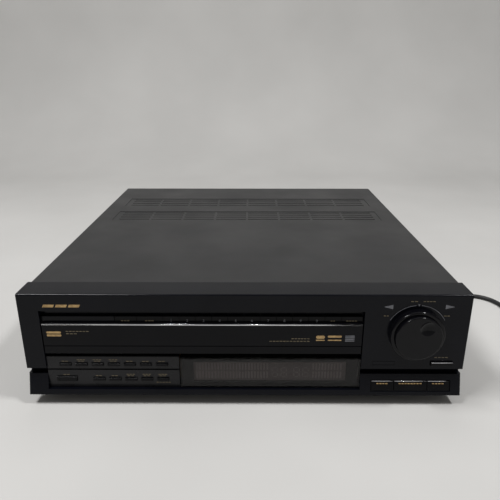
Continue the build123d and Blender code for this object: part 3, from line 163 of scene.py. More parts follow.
def coil_points():
    """Inward on the lower layer, a climb, outward on the upper one, and the tail."""
    x = COIL_START[0]
    y = COIL_START[1] - LEAD_DIAMETER
    low = LEAD_Z
    high = LEAD_Z + COIL_PITCH
    points = [(x, y + LEAD_DIAMETER / 2, low)]
    side = 1
    radius = COIL_RADIUS
    for number in range(2 * COIL_HALF_TURNS + 1):
        z0 = low if number <= COIL_HALF_TURNS else high
        z1 = low if number < COIL_HALF_TURNS else high
        turn, x = half_turn(x, y, side, radius, z0, z1)
        points.extend(turn)
        side = -side
        radius += COIL_PITCH / 2 * (-1 if number < COIL_HALF_TURNS else 1)
    heading = -side
    for share in (0.25, 0.75):
        turn = TAIL_TURN * share
        points.append((x + TAIL_RADIUS * (1 - math.cos(turn)),
                       y + heading * TAIL_RADIUS * math.sin(turn), high))
    end_x = x + TAIL_RADIUS * (1 - math.cos(TAIL_TURN)) + LEAD_DIAMETER * math.sin(TAIL_TURN)
    end_y = y + heading * (TAIL_RADIUS * math.sin(TAIL_TURN)
                           + LEAD_DIAMETER * math.cos(TAIL_TURN))
    points.append((end_x, end_y, high))
    return points


lead_points = route + coil_points()
lead_curve = bpy.data.curves.new("mains_lead", "CURVE")
lead_curve.dimensions = "3D"
lead_curve.bevel_depth = UNIT_BEVEL
lead_curve.bevel_resolution = 6
lead_curve.resolution_u = 6
spline = lead_curve.splines.new("NURBS")
spline.points.add(len(lead_points) - 1)
for knot, place in zip(spline.points, lead_points):
    knot.co = (*at(*place), 1.0)
    knot.radius = LEAD_DIAMETER / 2 * MM
spline.order_u = 3
spline.use_endpoint_u = True
mains_lead = bpy.data.objects.new("mains_lead", lead_curve)
bpy.context.scene.collection.objects.link(mains_lead)
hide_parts("power_cord", "cord_coil")
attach(mains_lead, "case")
print("lead points", len(lead_points))

# %% [markdown]
# ## Finishes: how a moulded or painted surface is described
# Nearly everything here is black, yet no two pieces look the same: paint with an orange
# peel, finely spark-eroded plastic, gloss on a dial, zinc-plated steel.  What tells them
# apart is how evenly they reflect.  Each finish starts from one Principled shader.  A
# noise mottles its colour a little, another changes its roughness where hands and dust
# have been, and a third, through a bump node, gives the grain its depth in real metres.

# %% Helpers for finishes
def tone(red, green, blue):
    """A screen colour, 0 to 255, as the linear colour that shaders take."""
    linear = []
    for value in (red, green, blue):
        share = value / 255
        if share <= 0.04045:
            linear.append(share / 12.92)
        else:
            linear.append(((share + 0.055) / 1.055) ** 2.4)
    return (*linear, 1.0)


def new_finish(name, roughness, metallic=0.0, specular=0.5):
    material = bpy.data.materials.new(name)
    material.use_nodes = True
    shader = material.node_tree.nodes["Principled BSDF"]
    shader.inputs["Roughness"].default_value = roughness
    shader.inputs["Metallic"].default_value = metallic
    shader.inputs["Specular IOR Level"].default_value = specular
    return material, shader


def noise_on(material, size_mm, stretch=(1, 1, 1), detail=3.0):
    """A noise whose blotches measure about size_mm, stretched along an axis if asked."""
    nodes = material.node_tree.nodes
    links = material.node_tree.links
    place = nodes.new("ShaderNodeTexCoord")
    mapping = nodes.new("ShaderNodeMapping")
    mapping.inputs["Scale"].default_value = stretch
    noise = nodes.new("ShaderNodeTexNoise")
    noise.inputs["Scale"].default_value = 1000 / size_mm
    noise.inputs["Detail"].default_value = detail
    links.new(place.outputs["Object"], mapping.inputs["Vector"])
    links.new(mapping.outputs["Vector"], noise.inputs["Vector"])
    return noise.outputs["Fac"]


def mottle(material, shader, dark, light, size_mm, stretch=(1, 1, 1)):
    """Colour that drifts between two near tones."""
    ramp = material.node_tree.nodes.new("ShaderNodeValToRGB")
    ramp.color_ramp.elements[0].position = 0.32
    ramp.color_ramp.elements[0].color = dark
    ramp.color_ramp.elements[1].position = 0.68
    ramp.color_ramp.elements[1].color = light
    links = material.node_tree.links
    links.new(noise_on(material, size_mm, stretch), ramp.inputs["Fac"])
    links.new(ramp.outputs["Color"], shader.inputs["Base Color"])


def wear(material, shader, smooth, rough, size_mm, stretch=(1, 1, 1)):
    """Roughness that changes over the surface, as handling and dust change it."""
    spread = material.node_tree.nodes.new("ShaderNodeMapRange")
    spread.inputs["From Min"].default_value = 0.3
    spread.inputs["From Max"].default_value = 0.7
    spread.inputs["To Min"].default_value = smooth
    spread.inputs["To Max"].default_value = rough
    links = material.node_tree.links
    links.new(noise_on(material, size_mm, stretch), spread.inputs["Value"])
    links.new(spread.outputs["Result"], shader.inputs["Roughness"])


def grain(material, shader, depth_mm, size_mm, strength=0.5, stretch=(1, 1, 1)):
    """Fine relief: depth and size of the grain in millimetres."""
    bump = material.node_tree.nodes.new("ShaderNodeBump")
    bump.inputs["Distance"].default_value = depth_mm * MM
    bump.inputs["Strength"].default_value = strength
    links = material.node_tree.links
    links.new(noise_on(material, size_mm, stretch, 2.0), bump.inputs["Height"])
    links.new(bump.outputs["Normal"], shader.inputs["Normal"])


def dress(material, *names):
    """Give a finish to nodes of the measured model."""
    for name in names:
        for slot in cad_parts[name].material_slots:
            slot.material = material


# %% [markdown]
# ### Painted steel: the cover and the rear
# The cover is folded steel with a textured charcoal paint.  Spray paint dries with a fine
# orange peel, so its relief is shallow and about half a millimetre across, and the sheen
# is broad.  The rear panel has the same paint, a little darker and flatter.

# %% Painted steel
cover_paint, shader = new_finish("cover_paint", 0.46, specular=0.35)
mottle(cover_paint, shader, tone(30, 30, 31), tone(36, 36, 37), 60)
wear(cover_paint, shader, 0.40, 0.54, 90)
grain(cover_paint, shader, 0.03, 0.6, 0.35)
dress(cover_paint, "top_cover")

rear_paint, shader = new_finish("rear_paint", 0.6, specular=0.4)
mottle(rear_paint, shader, tone(38, 38, 41), tone(46, 46, 49), 30)
grain(rear_paint, shader, 0.04, 0.8, 0.5)
dress(rear_paint, "rear_panel")
print("painted", cover_paint.name, rear_paint.name)

# %% [markdown]
# ### Moulded black plastic: bezel, panels, drawer and keys
# The front is moulded in a black styrene blend with a satin skin, close to gloss, and its
# grain is a few hundredths of a millimetre deep.  The bezel is blackest, with a trace of
# blue, and the key panel greyer.  A weak specular keeps the upright faces dark although the
# pale floor mirrors in them.  Each finish has its own roughness, so edges differ.

# %% Moulded plastics of the front
def moulded(name, dark, light, smooth, rough, specular=0.13):
    material, shader = new_finish(name, (smooth + rough) / 2, specular=specular)
    mottle(material, shader, dark, light, 45)
    wear(material, shader, smooth, rough, 35)
    grain(material, shader, 0.02, 0.5, 0.3)
    return material


bezel_plastic = moulded("bezel_plastic", tone(5, 6, 11), tone(8, 9, 15), 0.16, 0.24, 0.16)
panel_plastic = moulded("panel_plastic", tone(22, 22, 24), tone(28, 28, 30), 0.22, 0.32, 0.25)
drawer_plastic = moulded("drawer_plastic", tone(8, 8, 11), tone(11, 11, 14), 0.18, 0.27)
key_plastic = moulded("key_plastic", tone(7, 7, 9), tone(10, 10, 12), 0.17, 0.26)
foot_plastic = moulded("foot_plastic", tone(22, 22, 23), tone(28, 28, 29), 0.5, 0.65)
keys = [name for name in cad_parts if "key" in name and name != "key_panel"]
dress(bezel_plastic, "front_bezel", "lower_bar")
dress(panel_plastic, "key_panel")
dress(drawer_plastic, "drawer_front")
dress(key_plastic, *keys)
dress(foot_plastic, "feet")
print("keys", len(keys))

# %% [markdown]
# ### The dial and its ring
# Both are turned-looking mouldings in satin black.  A lathe or a polished tool leaves
# fine rings about the axis, which stretch each highlight into a fan.  A wave texture in
# rings, centred on the dial's axis, makes them as relief.

# %% Dial plastic
dial_low, dial_high = edges("jog_dial")
DIAL = at((dial_low[0] + dial_high[0]) / 2, 0, (dial_low[2] + dial_high[2]) / 2)
dial_plastic, shader = new_finish("dial_plastic", 0.12, specular=0.2)
mottle(dial_plastic, shader, tone(6, 6, 9), tone(9, 9, 12), 12)
nodes = dial_plastic.node_tree.nodes
links = dial_plastic.node_tree.links
place = nodes.new("ShaderNodeTexCoord")
centre = nodes.new("ShaderNodeMapping")
centre.inputs["Location"].default_value = -DIAL
rings = nodes.new("ShaderNodeTexWave")
rings.wave_type = "RINGS"
rings.rings_direction = "Y"
rings.inputs["Scale"].default_value = 400
rings.inputs["Distortion"].default_value = 0.4
relief = nodes.new("ShaderNodeBump")
relief.inputs["Distance"].default_value = 0.02 * MM
relief.inputs["Strength"].default_value = 0.15
links.new(place.outputs["Object"], centre.inputs["Vector"])
links.new(centre.outputs["Vector"], rings.inputs["Vector"])
links.new(rings.outputs["Fac"], relief.inputs["Height"])
links.new(relief.outputs["Normal"], shader.inputs["Normal"])
dress(dial_plastic, "jog_dial", "shuttle_ring")
print("dial axis", [round(value, 4) for value in DIAL])

# %% [markdown]
# ### The smoked window and the display tube
# The window is a tinted acrylic pane, and behind it stands a flat glass display tube.
# A real pane both reflects and lets the tube show through faintly.  An alpha below one
# on a glossy dark shader does that: the lamp's light passes too, so the tube is lit,
# which a refracting shader would prevent.

# %% Window and tube
smoked_window, shader = new_finish("smoked_window", 0.1, specular=0.5)
mottle(smoked_window, shader, tone(14, 13, 13), tone(19, 18, 17), 25)
shader.inputs["Alpha"].default_value = 0.5
dress(smoked_window, "display_window")

tube_glass, shader = new_finish("tube_glass", 0.2, specular=0.4)
mottle(tube_glass, shader, tone(188, 168, 166), tone(205, 187, 183), 18)
wear(tube_glass, shader, 0.15, 0.3, 10)
nodes = tube_glass.node_tree.nodes
links = tube_glass.node_tree.links
place = nodes.new("ShaderNodeTexCoord")
grid = nodes.new("ShaderNodeTexWave")
grid.wave_type = "BANDS"
grid.bands_direction = "X"
grid.inputs["Scale"].default_value = 190
relief = nodes.new("ShaderNodeBump")
relief.inputs["Distance"].default_value = 0.15 * MM
relief.inputs["Strength"].default_value = 0.6
links.new(place.outputs["Object"], grid.inputs["Vector"])
links.new(grid.outputs["Fac"], relief.inputs["Height"])
links.new(relief.outputs["Normal"], shader.inputs["Normal"])
dress(tube_glass, "display_tube")
print("glass", smoked_window.name, "over", tube_glass.name)

# %% [markdown]
# ### Metals inside and behind
# The chassis is zinc-plated steel: bright, with the soft spangle of plating, dulled in
# patches.  The transformer's core is bare laminated iron, darker and ribbed along its
# stack.  Motors are plated smooth, the mechanism's plate is cast alloy with a matt skin,
# and the sockets are nickel.  All are metallic, so their colour tints what they reflect.

# %% Metals
def metal(name, dark, light, smooth, rough, blotch, stretch=(1, 1, 1)):
    material, shader = new_finish(name, (smooth + rough) / 2, metallic=1.0)
    mottle(material, shader, dark, light, blotch, stretch)
    wear(material, shader, smooth, rough, blotch / 2, stretch)
    grain(material, shader, 0.01, 0.4, 0.2, stretch)
    return material


zinc_sheet = metal("zinc_sheet", tone(150, 152, 150), tone(186, 188, 184), 0.28, 0.46, 9)
iron_core = metal("iron_core", tone(84, 82, 80), tone(128, 125, 120), 0.4, 0.6, 1.2, (1, 1, 8))
motor_steel = metal("motor_steel", tone(160, 160, 162), tone(190, 190, 190), 0.18, 0.3, 14)
socket_metal = metal("socket_metal", tone(182, 178, 168), tone(214, 210, 200), 0.14, 0.28, 5)
cast_alloy = metal("cast_alloy", tone(120, 121, 123), tone(150, 151, 153), 0.42, 0.58, 6)
screw_steel = metal("screw_steel", tone(34, 34, 36), tone(60, 60, 62), 0.3, 0.45, 3)
dress(zinc_sheet, "chassis_base", "front_bulkhead", "clamp_bridge")
dress(iron_core, "power_transformer")
dress(motor_steel, "loading_motor")
dress(socket_metal, "rear_sockets")
dress(cast_alloy, "mechanism_frame", "pickup_carriage")
dress(screw_steel, "case_screws")
print("metals", [m.name for m in (zinc_sheet, iron_core, motor_steel, socket_metal)])

# %% [markdown]
# ### Plastics inside, boards and the lead's rubber
# The tray is a satin black moulding, the gear is pale nylon that light sinks into, the
# boards are brown paper laminate, and the lead and plug are soft black vinyl.

# %% Inner plastics, boards and rubber
tray_plastic = moulded("tray_plastic", tone(30, 30, 32), tone(38, 38, 40), 0.4, 0.55)
turntable_plastic = moulded("turntable_plastic", tone(36, 36, 38), tone(44, 44, 46), 0.35, 0.5)
gear_nylon, shader = new_finish("gear_nylon", 0.45)
mottle(gear_nylon, shader, tone(205, 200, 186), tone(222, 218, 205), 6)
shader.inputs["Subsurface Weight"].default_value = 0.2
shader.inputs["Subsurface Scale"].default_value = 1.0 * MM
board_laminate, shader = new_finish("board_laminate", 0.5, specular=0.4)
mottle(board_laminate, shader, tone(120, 84, 42), tone(142, 102, 56), 4)
grain(board_laminate, shader, 0.02, 0.7, 0.3)
cord_rubber, shader = new_finish("cord_rubber", 0.5, specular=0.4)
mottle(cord_rubber, shader, tone(24, 24, 25), tone(32, 32, 33), 10)
wear(cord_rubber, shader, 0.42, 0.6, 14)
grain(cord_rubber, shader, 0.03, 0.9, 0.4)
plug_rubber, shader = new_finish("plug_rubber", 0.48, specular=0.4)
mottle(plug_rubber, shader, tone(26, 26, 27), tone(34, 34, 35), 8)
grain(plug_rubber, shader, 0.04, 0.7, 0.5)
dress(tray_plastic, "disc_tray")
dress(turntable_plastic, "turntable", "disc_clamp")
dress(gear_nylon, "loading_gear")
dress(board_laminate, "circuit_boards")
dress(plug_rubber, "mains_plug", "strain_relief")
mains_lead.data.materials.append(cord_rubber)
print("materials", len(bpy.data.materials))

# %% [markdown]
# ## Printing on the front
# The legends on such a front are pad-printed in a pale gold ink, a few hundredths of a
# millimetre thick.  Here each legend is a plain dash of the legend's length, so the panel
# has its rhythm of print without any words; only the digit keys carry their digits.  A
# mark is an outline in the plane of the front, given a thickness with bmesh, so it stands
# proud of its carrier like real ink and catches its own light.

# %% Ink
INK = 0.05
gold_ink, shader = new_finish("gold_ink", 0.4, metallic=0.3)
mottle(gold_ink, shader, tone(150, 122, 80), tone(186, 156, 106), 3)
legend_ink, shader = new_finish("legend_ink", 0.5)
mottle(legend_ink, shader, tone(84, 75, 54), tone(106, 94, 70), 3)
grey_ink, shader = new_finish("grey_ink", 0.5)
mottle(grey_ink, shader, tone(84, 85, 90), tone(108, 109, 114), 3)


def adopt(mesh, name, body, slot, *materials):
    for material in materials:
        mesh.materials.append(material)
    piece = bpy.data.objects.new(name, mesh)
    bpy.context.scene.collection.objects.link(piece)
    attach(piece, body)
    return piece


def solid_outlines(name, outlines, face, thickness):
    """Mesh of flat outlines of (x, z) points, thickness in front of a face or leaning face."""
    shape = bmesh.new()
    for outline in outlines:
        corners = [shape.verts.new(at(x, face(z) if callable(face) else face, z))
                   for x, z in outline]
        sheet = shape.faces.new(corners)
        grown = bmesh.ops.extrude_face_region(shape, geom=[sheet])["geom"]
        for part in grown:
            if isinstance(part, bmesh.types.BMVert):
                part.co.y -= thickness * MM
    bmesh.ops.recalc_face_normals(shape, faces=shape.faces)
    mesh = bpy.data.meshes.new(name)
    shape.to_mesh(mesh)
    shape.free()
    return mesh


def dash(x0, x1, z, height=0.8):
    """A flat dash with clipped corners, the stand-in for a printed word."""
    clip = height * 0.3
    low, high = z - height / 2, z + height / 2
    return [(x0 + clip, low), (x1 - clip, low), (x1, low + clip), (x1, high - clip),
            (x1 - clip, high), (x0 + clip, high), (x0, high - clip), (x0, low + clip)]


def words(x0, x1, z, letter=1.5, height=0.8):
    """A row of dashes that reads as a line of small print."""
    count = max(2, round((x1 - x0) / (letter * 2.2)))
    pitch = (x1 - x0) / count
    return [dash(x0 + number * pitch, x0 + (number + 0.78) * pitch, z, height)
            for number in range(count)]


print("ink thickness", INK, "mm")

# %% [markdown]
# ### Legends of the small keys
# Each small key has its legend centred just above it, and three of the upper and three of
# the lower ones have two lines.  Reading each key's box from the frame keeps every legend
# over its own key.

# %% Legends on the key panel
PANEL_FACE = edges("key_panel")[0][1]
LEGEND_GAP = 1.7
LINE_PITCH = 1.7
two_line_keys = ("upper_key_2", "upper_key_3", "upper_key_4", "lower_key_3", "lower_key_4",
                 "lower_key_5")
small_keys = ["upper_key_%d" % number for number in range(1, 8)]
small_keys += ["lower_key_%d" % number for number in range(1, 6)] + ["power_key"]
half = 3.6
marks = []
for name in small_keys:
    low, high = edges(name)
    middle = (low[0] + high[0]) / 2
    line_z = high[2] + LEGEND_GAP - 0.9
    marks += words(middle - half, middle + half, line_z)
    if name in two_line_keys:
        upper = line_z + LINE_PITCH
        marks += words(middle - half - 1, middle + half + 1, upper)
low, high = edges("lower_key_5")
marks += words(low[0] - 0.2, high[0] + 1.2, low[2] - 1.6)
adopt(solid_outlines("panel_legends", marks, PANEL_FACE, INK), "panel_legends", "case",
      "panel_plastic", legend_ink)
print("panel marks", len(marks))

# %% [markdown]
# ### Digits and legends on the key row
# The ten digit keys carry the digits 1 to 9 and 0 in the lower middle of their caps.
# A text object gives well drawn digits.  It is laid upright against the cap and rides on
# its key, so it moves when the key is pressed.

# %% Key row
ROW_FACE = edges("digit_1_key")[0][1]
DIGIT_SIZE = 4.0
ROW_PRINT_Z = 91.6
for number in range(10):
    name = "digit_%d_key" % number
    low, high = edges(name)
    digit = bpy.data.curves.new("digit_%d" % number, "FONT")
    digit.body = str(number)
    digit.size = DIGIT_SIZE * MM
    digit.extrude = INK / 2 * MM
    digit.align_x = "CENTER"
    digit.align_y = "CENTER"
    digit.materials.append(grey_ink)
    piece = bpy.data.objects.new("digit_%d" % number, digit)
    piece.location = at((low[0] + high[0]) / 2, ROW_FACE - INK / 2, ROW_PRINT_Z)
    piece.rotation_euler = (math.radians(90), 0, 0)
    bpy.context.scene.collection.objects.link(piece)
    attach(piece, name)

for name, half in (("side_a_key", 4.6), ("side_b_key", 4.6), ("plus_ten_key", 2.4),
                   ("clear_key", 5.6)):
    low, high = edges(name)
    middle = (low[0] + high[0]) / 2
    marks = words(middle - half, middle + half, ROW_PRINT_Z, 1.4, 1.1)
    adopt(solid_outlines(name + "_legend", marks, ROW_FACE, INK), name + "_legend", name,
          "key_plastic", legend_ink)
print("row face", round(ROW_FACE, 2), "mm")

# %% [markdown]
# ### Plain marks in the badges' places
# Plain gold bars and lines of dashes fill the upper left of the bezel and both ends of
# the drawer's front.  They give the dark front its balance without any lettering.

# %% Badges' places
TITLE_LEFT, TITLE_PITCH, TITLE_BAR = -193.5, 12.4, 10.6
TITLE_LOW, TITLE_HIGH, TITLE_SLANT = 107.4, 110.2, 1.2
title = []
for number in range(3):
    x0 = TITLE_LEFT + number * TITLE_PITCH
    x1 = x0 + TITLE_BAR
    title.append([(x0, TITLE_LOW), (x1, TITLE_LOW), (x1 + TITLE_SLANT, TITLE_HIGH),
                  (x0 + TITLE_SLANT, TITLE_HIGH)])
adopt(solid_outlines("bezel_title_bars", title, 0, INK), "bezel_title_bars", "case",
      "bezel_plastic", gold_ink)

badge = [dash(-192.8, -178.6, 80.4, 2.2), dash(-192.8, -178.6, 77.2, 2.2)]
adopt(solid_outlines("drawer_badge_bars", badge, 0, 3 * INK), "drawer_badge_bars", "drawer",
      "drawer_plastic", gold_ink)

small_type = words(-174.0, -150.8, 81.6) + words(-174.0, -162.5, 79.0)
small_type += words(46.0, 64.5, 74.0) + words(24.5, 64.5, 71.2)
adopt(solid_outlines("drawer_small_type", small_type, 0, INK), "drawer_small_type", "drawer",
      "drawer_plastic", legend_ink)

bars = [dash(70.0, 78.6, 75.8, 3.2), dash(81.5, 95.0, 76.4, 2.2), dash(81.5, 95.0, 72.4, 1.2)]
bars.append(dash(70.0, 78.6, 72.4, 1.2))
adopt(solid_outlines("drawer_right_bars", bars, 0, INK), "drawer_right_bars", "drawer",
      "drawer_plastic", gold_ink)
faint = [dash(98.4, 107.6, z, 1.1) for z in (71.6, 73.4, 75.2, 77.0)]
adopt(solid_outlines("drawer_faint_bars", faint, 0, INK), "drawer_faint_bars", "drawer",
      "drawer_plastic", grey_ink)
print("marks", len(title), len(badge), len(small_type), len(bars), len(faint))

# %% [markdown]
# ### The drawer's bright line
# A thin bright moulding runs along the top of the drawer's front, under the key row.  It
# is a half-round strip with a polished metal finish: its curve always finds a lamp.

# %% Bright line on the drawer
chrome, shader = new_finish("bright_foil", 0.16, metallic=1.0)
mottle(chrome, shader, tone(196, 196, 200), tone(224, 224, 226), 20)
wear(chrome, shader, 0.12, 0.24, 30, (1, 6, 6))
drawer_low, drawer_high = edges("drawer_front")
LINE_HEIGHT = 1.7
STRIP_STEPS = 6


def half_round(name, x0, x1, z, face, radius_z, radius_y):
    """Strip with a half-round section along X, on an upright face."""
    shape = bmesh.new()
    ends = []
    for x in (x0, x1):
        ring = []
        for step in range(STRIP_STEPS + 1):
            turn = math.pi * step / STRIP_STEPS
            ring.append(shape.verts.new(at(x, face - radius_y * math.sin(turn),
                                           z + radius_z * math.cos(turn))))
        ends.append(ring)
    for step in range(STRIP_STEPS):
        shape.faces.new((ends[0][step], ends[0][step + 1], ends[1][step + 1], ends[1][step]))
    for ring in ends:
        shape.faces.new(ring)
    shape.faces.new((ends[0][0], ends[1][0], ends[1][-1], ends[0][-1]))
    bmesh.ops.recalc_face_normals(shape, faces=shape.faces)
    for face_part in shape.faces:
        face_part.smooth = len(face_part.verts) == 4
    mesh = bpy.data.meshes.new(name)
    shape.to_mesh(mesh)
    shape.free()
    return mesh


strip_mesh = half_round("drawer_bright_line", drawer_low[0] + 0.3, drawer_high[0] - 0.3,
                        drawer_high[2] - LINE_HEIGHT / 2 - 0.1, 0, LINE_HEIGHT / 2, 0.45)
adopt(strip_mesh, "drawer_bright_line", "drawer", "drawer_plastic", chrome)
print("bright line from %.1f to %.1f mm" % (drawer_low[0], drawer_high[0]))

# %% [markdown]
# ### Around the dial
# A printed arc, open at its top round a small triangle, frames the ring.  Beside it stand
# two grey arrowheads, a line of small type above and a word at each end of the arc.  The
# arc is a chain of short quads about the dial's own axis.

# %% Dial print
dial_x = DIAL.x / MM
dial_z = DIAL.z / MM
ARC_RADIUS = 29.5
ARC_WIDTH = 0.5
ARC_HALF = math.radians(62)
ARC_GAP = math.radians(5)
ARC_STEPS = 24


def arc_quads(start, end):
    quads = []
    for step in range(ARC_STEPS):
        a = start + (end - start) * step / ARC_STEPS
        b = start + (end - start) * (step + 1) / ARC_STEPS
        quads.append([(dial_x + r * math.sin(t), dial_z + r * math.cos(t))
                      for r, t in ((ARC_RADIUS, a), (ARC_RADIUS, b),
                                   (ARC_RADIUS + ARC_WIDTH, b), (ARC_RADIUS + ARC_WIDTH, a))])
    return quads


arc = arc_quads(-ARC_HALF, -ARC_GAP) + arc_quads(ARC_GAP, ARC_HALF)
top = dial_z + ARC_RADIUS
arc.append([(dial_x - 1.1, top + 1.4), (dial_x, top - 0.8), (dial_x + 1.1, top + 1.4)])
adopt(solid_outlines("dial_arc", arc, 0, INK), "dial_arc", "case", "bezel_plastic", grey_ink)

ARROW_Z = 108.5
ARROW_HALF = 2.3
arrows = []
for side, base, tip in ((-1, 24.6, 33.3), (1, 25.5, 34.3)):
    arrows.append([(dial_x + side * base, ARROW_Z - ARROW_HALF),
                   (dial_x + side * base, ARROW_Z + ARROW_HALF), (dial_x + side * tip, ARROW_Z)])
adopt(solid_outlines("dial_arrows", arrows, 0, INK), "dial_arrows", "case", "bezel_plastic",
      grey_ink)
dial_type = words(158.6, 166.0, 114.2) + words(170.4, 182.6, 114.2)
dial_type += words(134.0, 139.4, 99.0) + words(191.6, 198.0, 99.0)
dial_type += words(188.0, 201.8, 53.4)
adopt(solid_outlines("dial_small_type", dial_type, 0, INK), "dial_small_type", "case",
      "bezel_plastic", legend_ink)
print("arc quads", len(arc))

# %% [markdown]
# ### The open key and the three keys in the bar
# These four keys have a narrow bright line along their upper edge, and the three in the
# bar have small type under it.  The bar leans back, so ink on its keys follows the lean:
# `bar_lean` gives how far behind the bezel's face a key's face lies at a height.

# %% Bright edges and type of the larger keys
BAR_FOOT = edges("lower_bar")[0][2]
BAR_TOP = 33.2
BAR_REACH = 4.0
BAR_SETBACK = 2.1
KEY_SINK = 0.5


def bar_lean(z):
    slope = (BAR_REACH + BAR_SETBACK) / (BAR_TOP - BAR_FOOT)
    return -BAR_REACH + slope * (z - BAR_FOOT) + KEY_SINK


low, high = edges("open_close_key")
open_edge = half_round("open_key_bright_edge", low[0] + 1.4, high[0] - 1.4, high[2] - 1.5, low[1],
                       0.4, 0.2)
adopt(open_edge, "open_key_bright_edge", "open_close_key", "key_plastic", chrome)
for name, half in (("left", 6.0), ("middle", 12.0), ("right", 6.2)):
    key = "transport_key_" + name
    low, high = edges(key)
    middle = (low[0] + high[0]) / 2
    top = high[2] - 1.5
    edge = half_round(key + "_bright_edge", low[0] + 0.4, high[0] - 0.4, top, bar_lean(top),
                      0.4, 0.2)
    adopt(edge, key + "_bright_edge", key, "key_plastic", chrome)
    marks = words(middle - half, middle + half, top - 2.4, 1.4, 1.0)
    adopt(solid_outlines(key + "_type", marks, bar_lean, INK), key + "_type", key,
          "key_plastic", gold_ink)
print("bar leans %.1f mm" % (BAR_REACH + BAR_SETBACK))

# %% [markdown]
# ### Behind the window
# A display window is printed black at the back round its edge, so only the tube's lit
# field shows.  The print is a thin frame just behind the pane: four strips with an
# opening the size of the field.

# %% Window's printed frame
WINDOW_BACK = 3.75
FIELD = (-51.4, 102.0, 22.9, 45.2)
low, high = edges("display_window")
left, right, bottom, top = low[0] + 2.2, high[0] - 2.2, low[2] + 0.3, high[2] - 0.3
frame_quads = [
    [(left, bottom), (right, bottom), (right, FIELD[2]), (left, FIELD[2])],
    [(left, FIELD[3]), (right, FIELD[3]), (right, top), (left, top)],
    [(left, FIELD[2]), (FIELD[0], FIELD[2]), (FIELD[0], FIELD[3]), (left, FIELD[3])],
    [(FIELD[1], FIELD[2]), (right, FIELD[2]), (right, FIELD[3]), (FIELD[1], FIELD[3])],
]
mask_ink, shader = new_finish("mask_ink", 0.7, specular=0.2)
mottle(mask_ink, shader, tone(12, 12, 12), tone(17, 17, 17), 5)
adopt(solid_outlines("window_mask", frame_quads, WINDOW_BACK + INK, INK), "window_mask", "case",
      "panel_plastic", mask_ink)
shield_top = high[2] - 0.2
BOARD_FACE = 15.3
lid = bmesh.new()
corners = [(low[0] + 0.1, WINDOW_BACK), (high[0] - 0.1, WINDOW_BACK), (high[0] - 0.1, BOARD_FACE),
           (low[0] + 0.1, BOARD_FACE)]
sheet = lid.faces.new([lid.verts.new(at(x, y, shield_top)) for x, y in corners])
grown = bmesh.ops.extrude_face_region(lid, geom=[sheet])["geom"]
for part in grown:
    if isinstance(part, bmesh.types.BMVert):
        part.co.z -= 0.8 * MM
bmesh.ops.recalc_face_normals(lid, faces=lid.faces)
lid_mesh = bpy.data.meshes.new("window_light_shield")
lid.to_mesh(lid_mesh)
lid.free()
adopt(lid_mesh, "window_light_shield", "case", "panel_plastic", mask_ink)
print("lit field %.0f by %.0f mm" % (FIELD[1] - FIELD[0], FIELD[3] - FIELD[2]))

# %% [markdown]
# ### Cells of the display
# Unlit, a display tube still shows its cells: pale grids and seven-bar figures on a
# greyer ground.  Two rows of upright bars fill the field, and four figures made of seven
# bars each stand between them, all a few hundredths of a millimetre thick on the glass.

# %% Cells of the display
TUBE_FACE = edges("display_tube")[0][1]
CELL_WIDTH = 1.7
CELL_PITCH = 3.1
FIGURES = (28.0, 37.0, 50.0, 59.0)
FIGURE_WIDTH = 5.4
FIGURE_BOTTOM = 27.0
FIGURE_HEIGHT = 10.5
BAR = 0.9


def upright(x, z0, z1, width):
    return [(x - width / 2, z0), (x + width / 2, z0), (x + width / 2, z1), (x - width / 2, z1)]


cells = []
x = FIELD[0] + 3.0
while x < FIELD[1] - 3.0:
    clear_of_figures = x < FIGURES[0] - 4 or x > FIGURES[-1] + FIGURE_WIDTH + 3
    if clear_of_figures:
        cells.append(upright(x, 25.4, 33.2, CELL_WIDTH))
        cells.append(upright(x, 35.0, 42.6, CELL_WIDTH))
    x += CELL_PITCH
for left_side in FIGURES:
    right_side = left_side + FIGURE_WIDTH
    for level in (0.0, 0.5, 1.0):
        z = FIGURE_BOTTOM + FIGURE_HEIGHT * level
        cells.append(dash(left_side + BAR, right_side - BAR, z, BAR))
    for side in (left_side, right_side):
        for level in (0.0, 0.5):
            z = FIGURE_BOTTOM + FIGURE_HEIGHT * level
            cells.append(upright(side, z + BAR, z + FIGURE_HEIGHT / 2 - BAR, BAR))
cell_phosphor, shader = new_finish("cell_phosphor", 0.4, specular=0.3)
mottle(cell_phosphor, shader, tone(226, 206, 202), tone(240, 224, 220), 8)
adopt(solid_outlines("display_cells", cells, TUBE_FACE, INK), "display_cells", "case",
      "tube_glass", cell_phosphor)
print("display cells", len(cells))

# %% [markdown]
# ### The tie round the coil
# The spare lead is held by a soft vinyl tie, a flat band wrapped once round the bundle.
# Its loop is measured from the coil's own points where they pass under it.

# %% Tie round the coil
TIE_WIDTH = 6.0
TIE_THICKNESS = 0.9
TIE_REACH = 9.0
TIE_CORNER = 3.0
tie_x = COIL_START[0] + COIL_RADIUS
bundle = [y for x, y, z in coil_points() if abs(x - tie_x) < TIE_REACH and y < COIL_START[1]]
tie_front = min(bundle) - LEAD_DIAMETER / 2 - 0.1
tie_back = max(bundle) + LEAD_DIAMETER / 2 + 0.1
tie_top = LEAD_Z + COIL_PITCH + LEAD_DIAMETER / 2 + 0.1


def tie_loop(grown_by):
    """Rounded loop of (y, z) points round the bundle, grown outward."""
    corner = TIE_CORNER + grown_by
    loop = []
    for y, z, start in ((tie_back, tie_top, 0), (tie_front, tie_top, 90), (tie_front, 1.0, 180),
                        (tie_back, 1.0, 270)):
        away = 1 if y == tie_back else -1
        up = 1 if z == tie_top else -1
        for step in range(5):
            turn = math.radians(start + 22.5 * step)
            loop.append((y - away * TIE_CORNER + corner * math.cos(turn),
                         z - up * TIE_CORNER + corner * math.sin(turn)))
    return loop


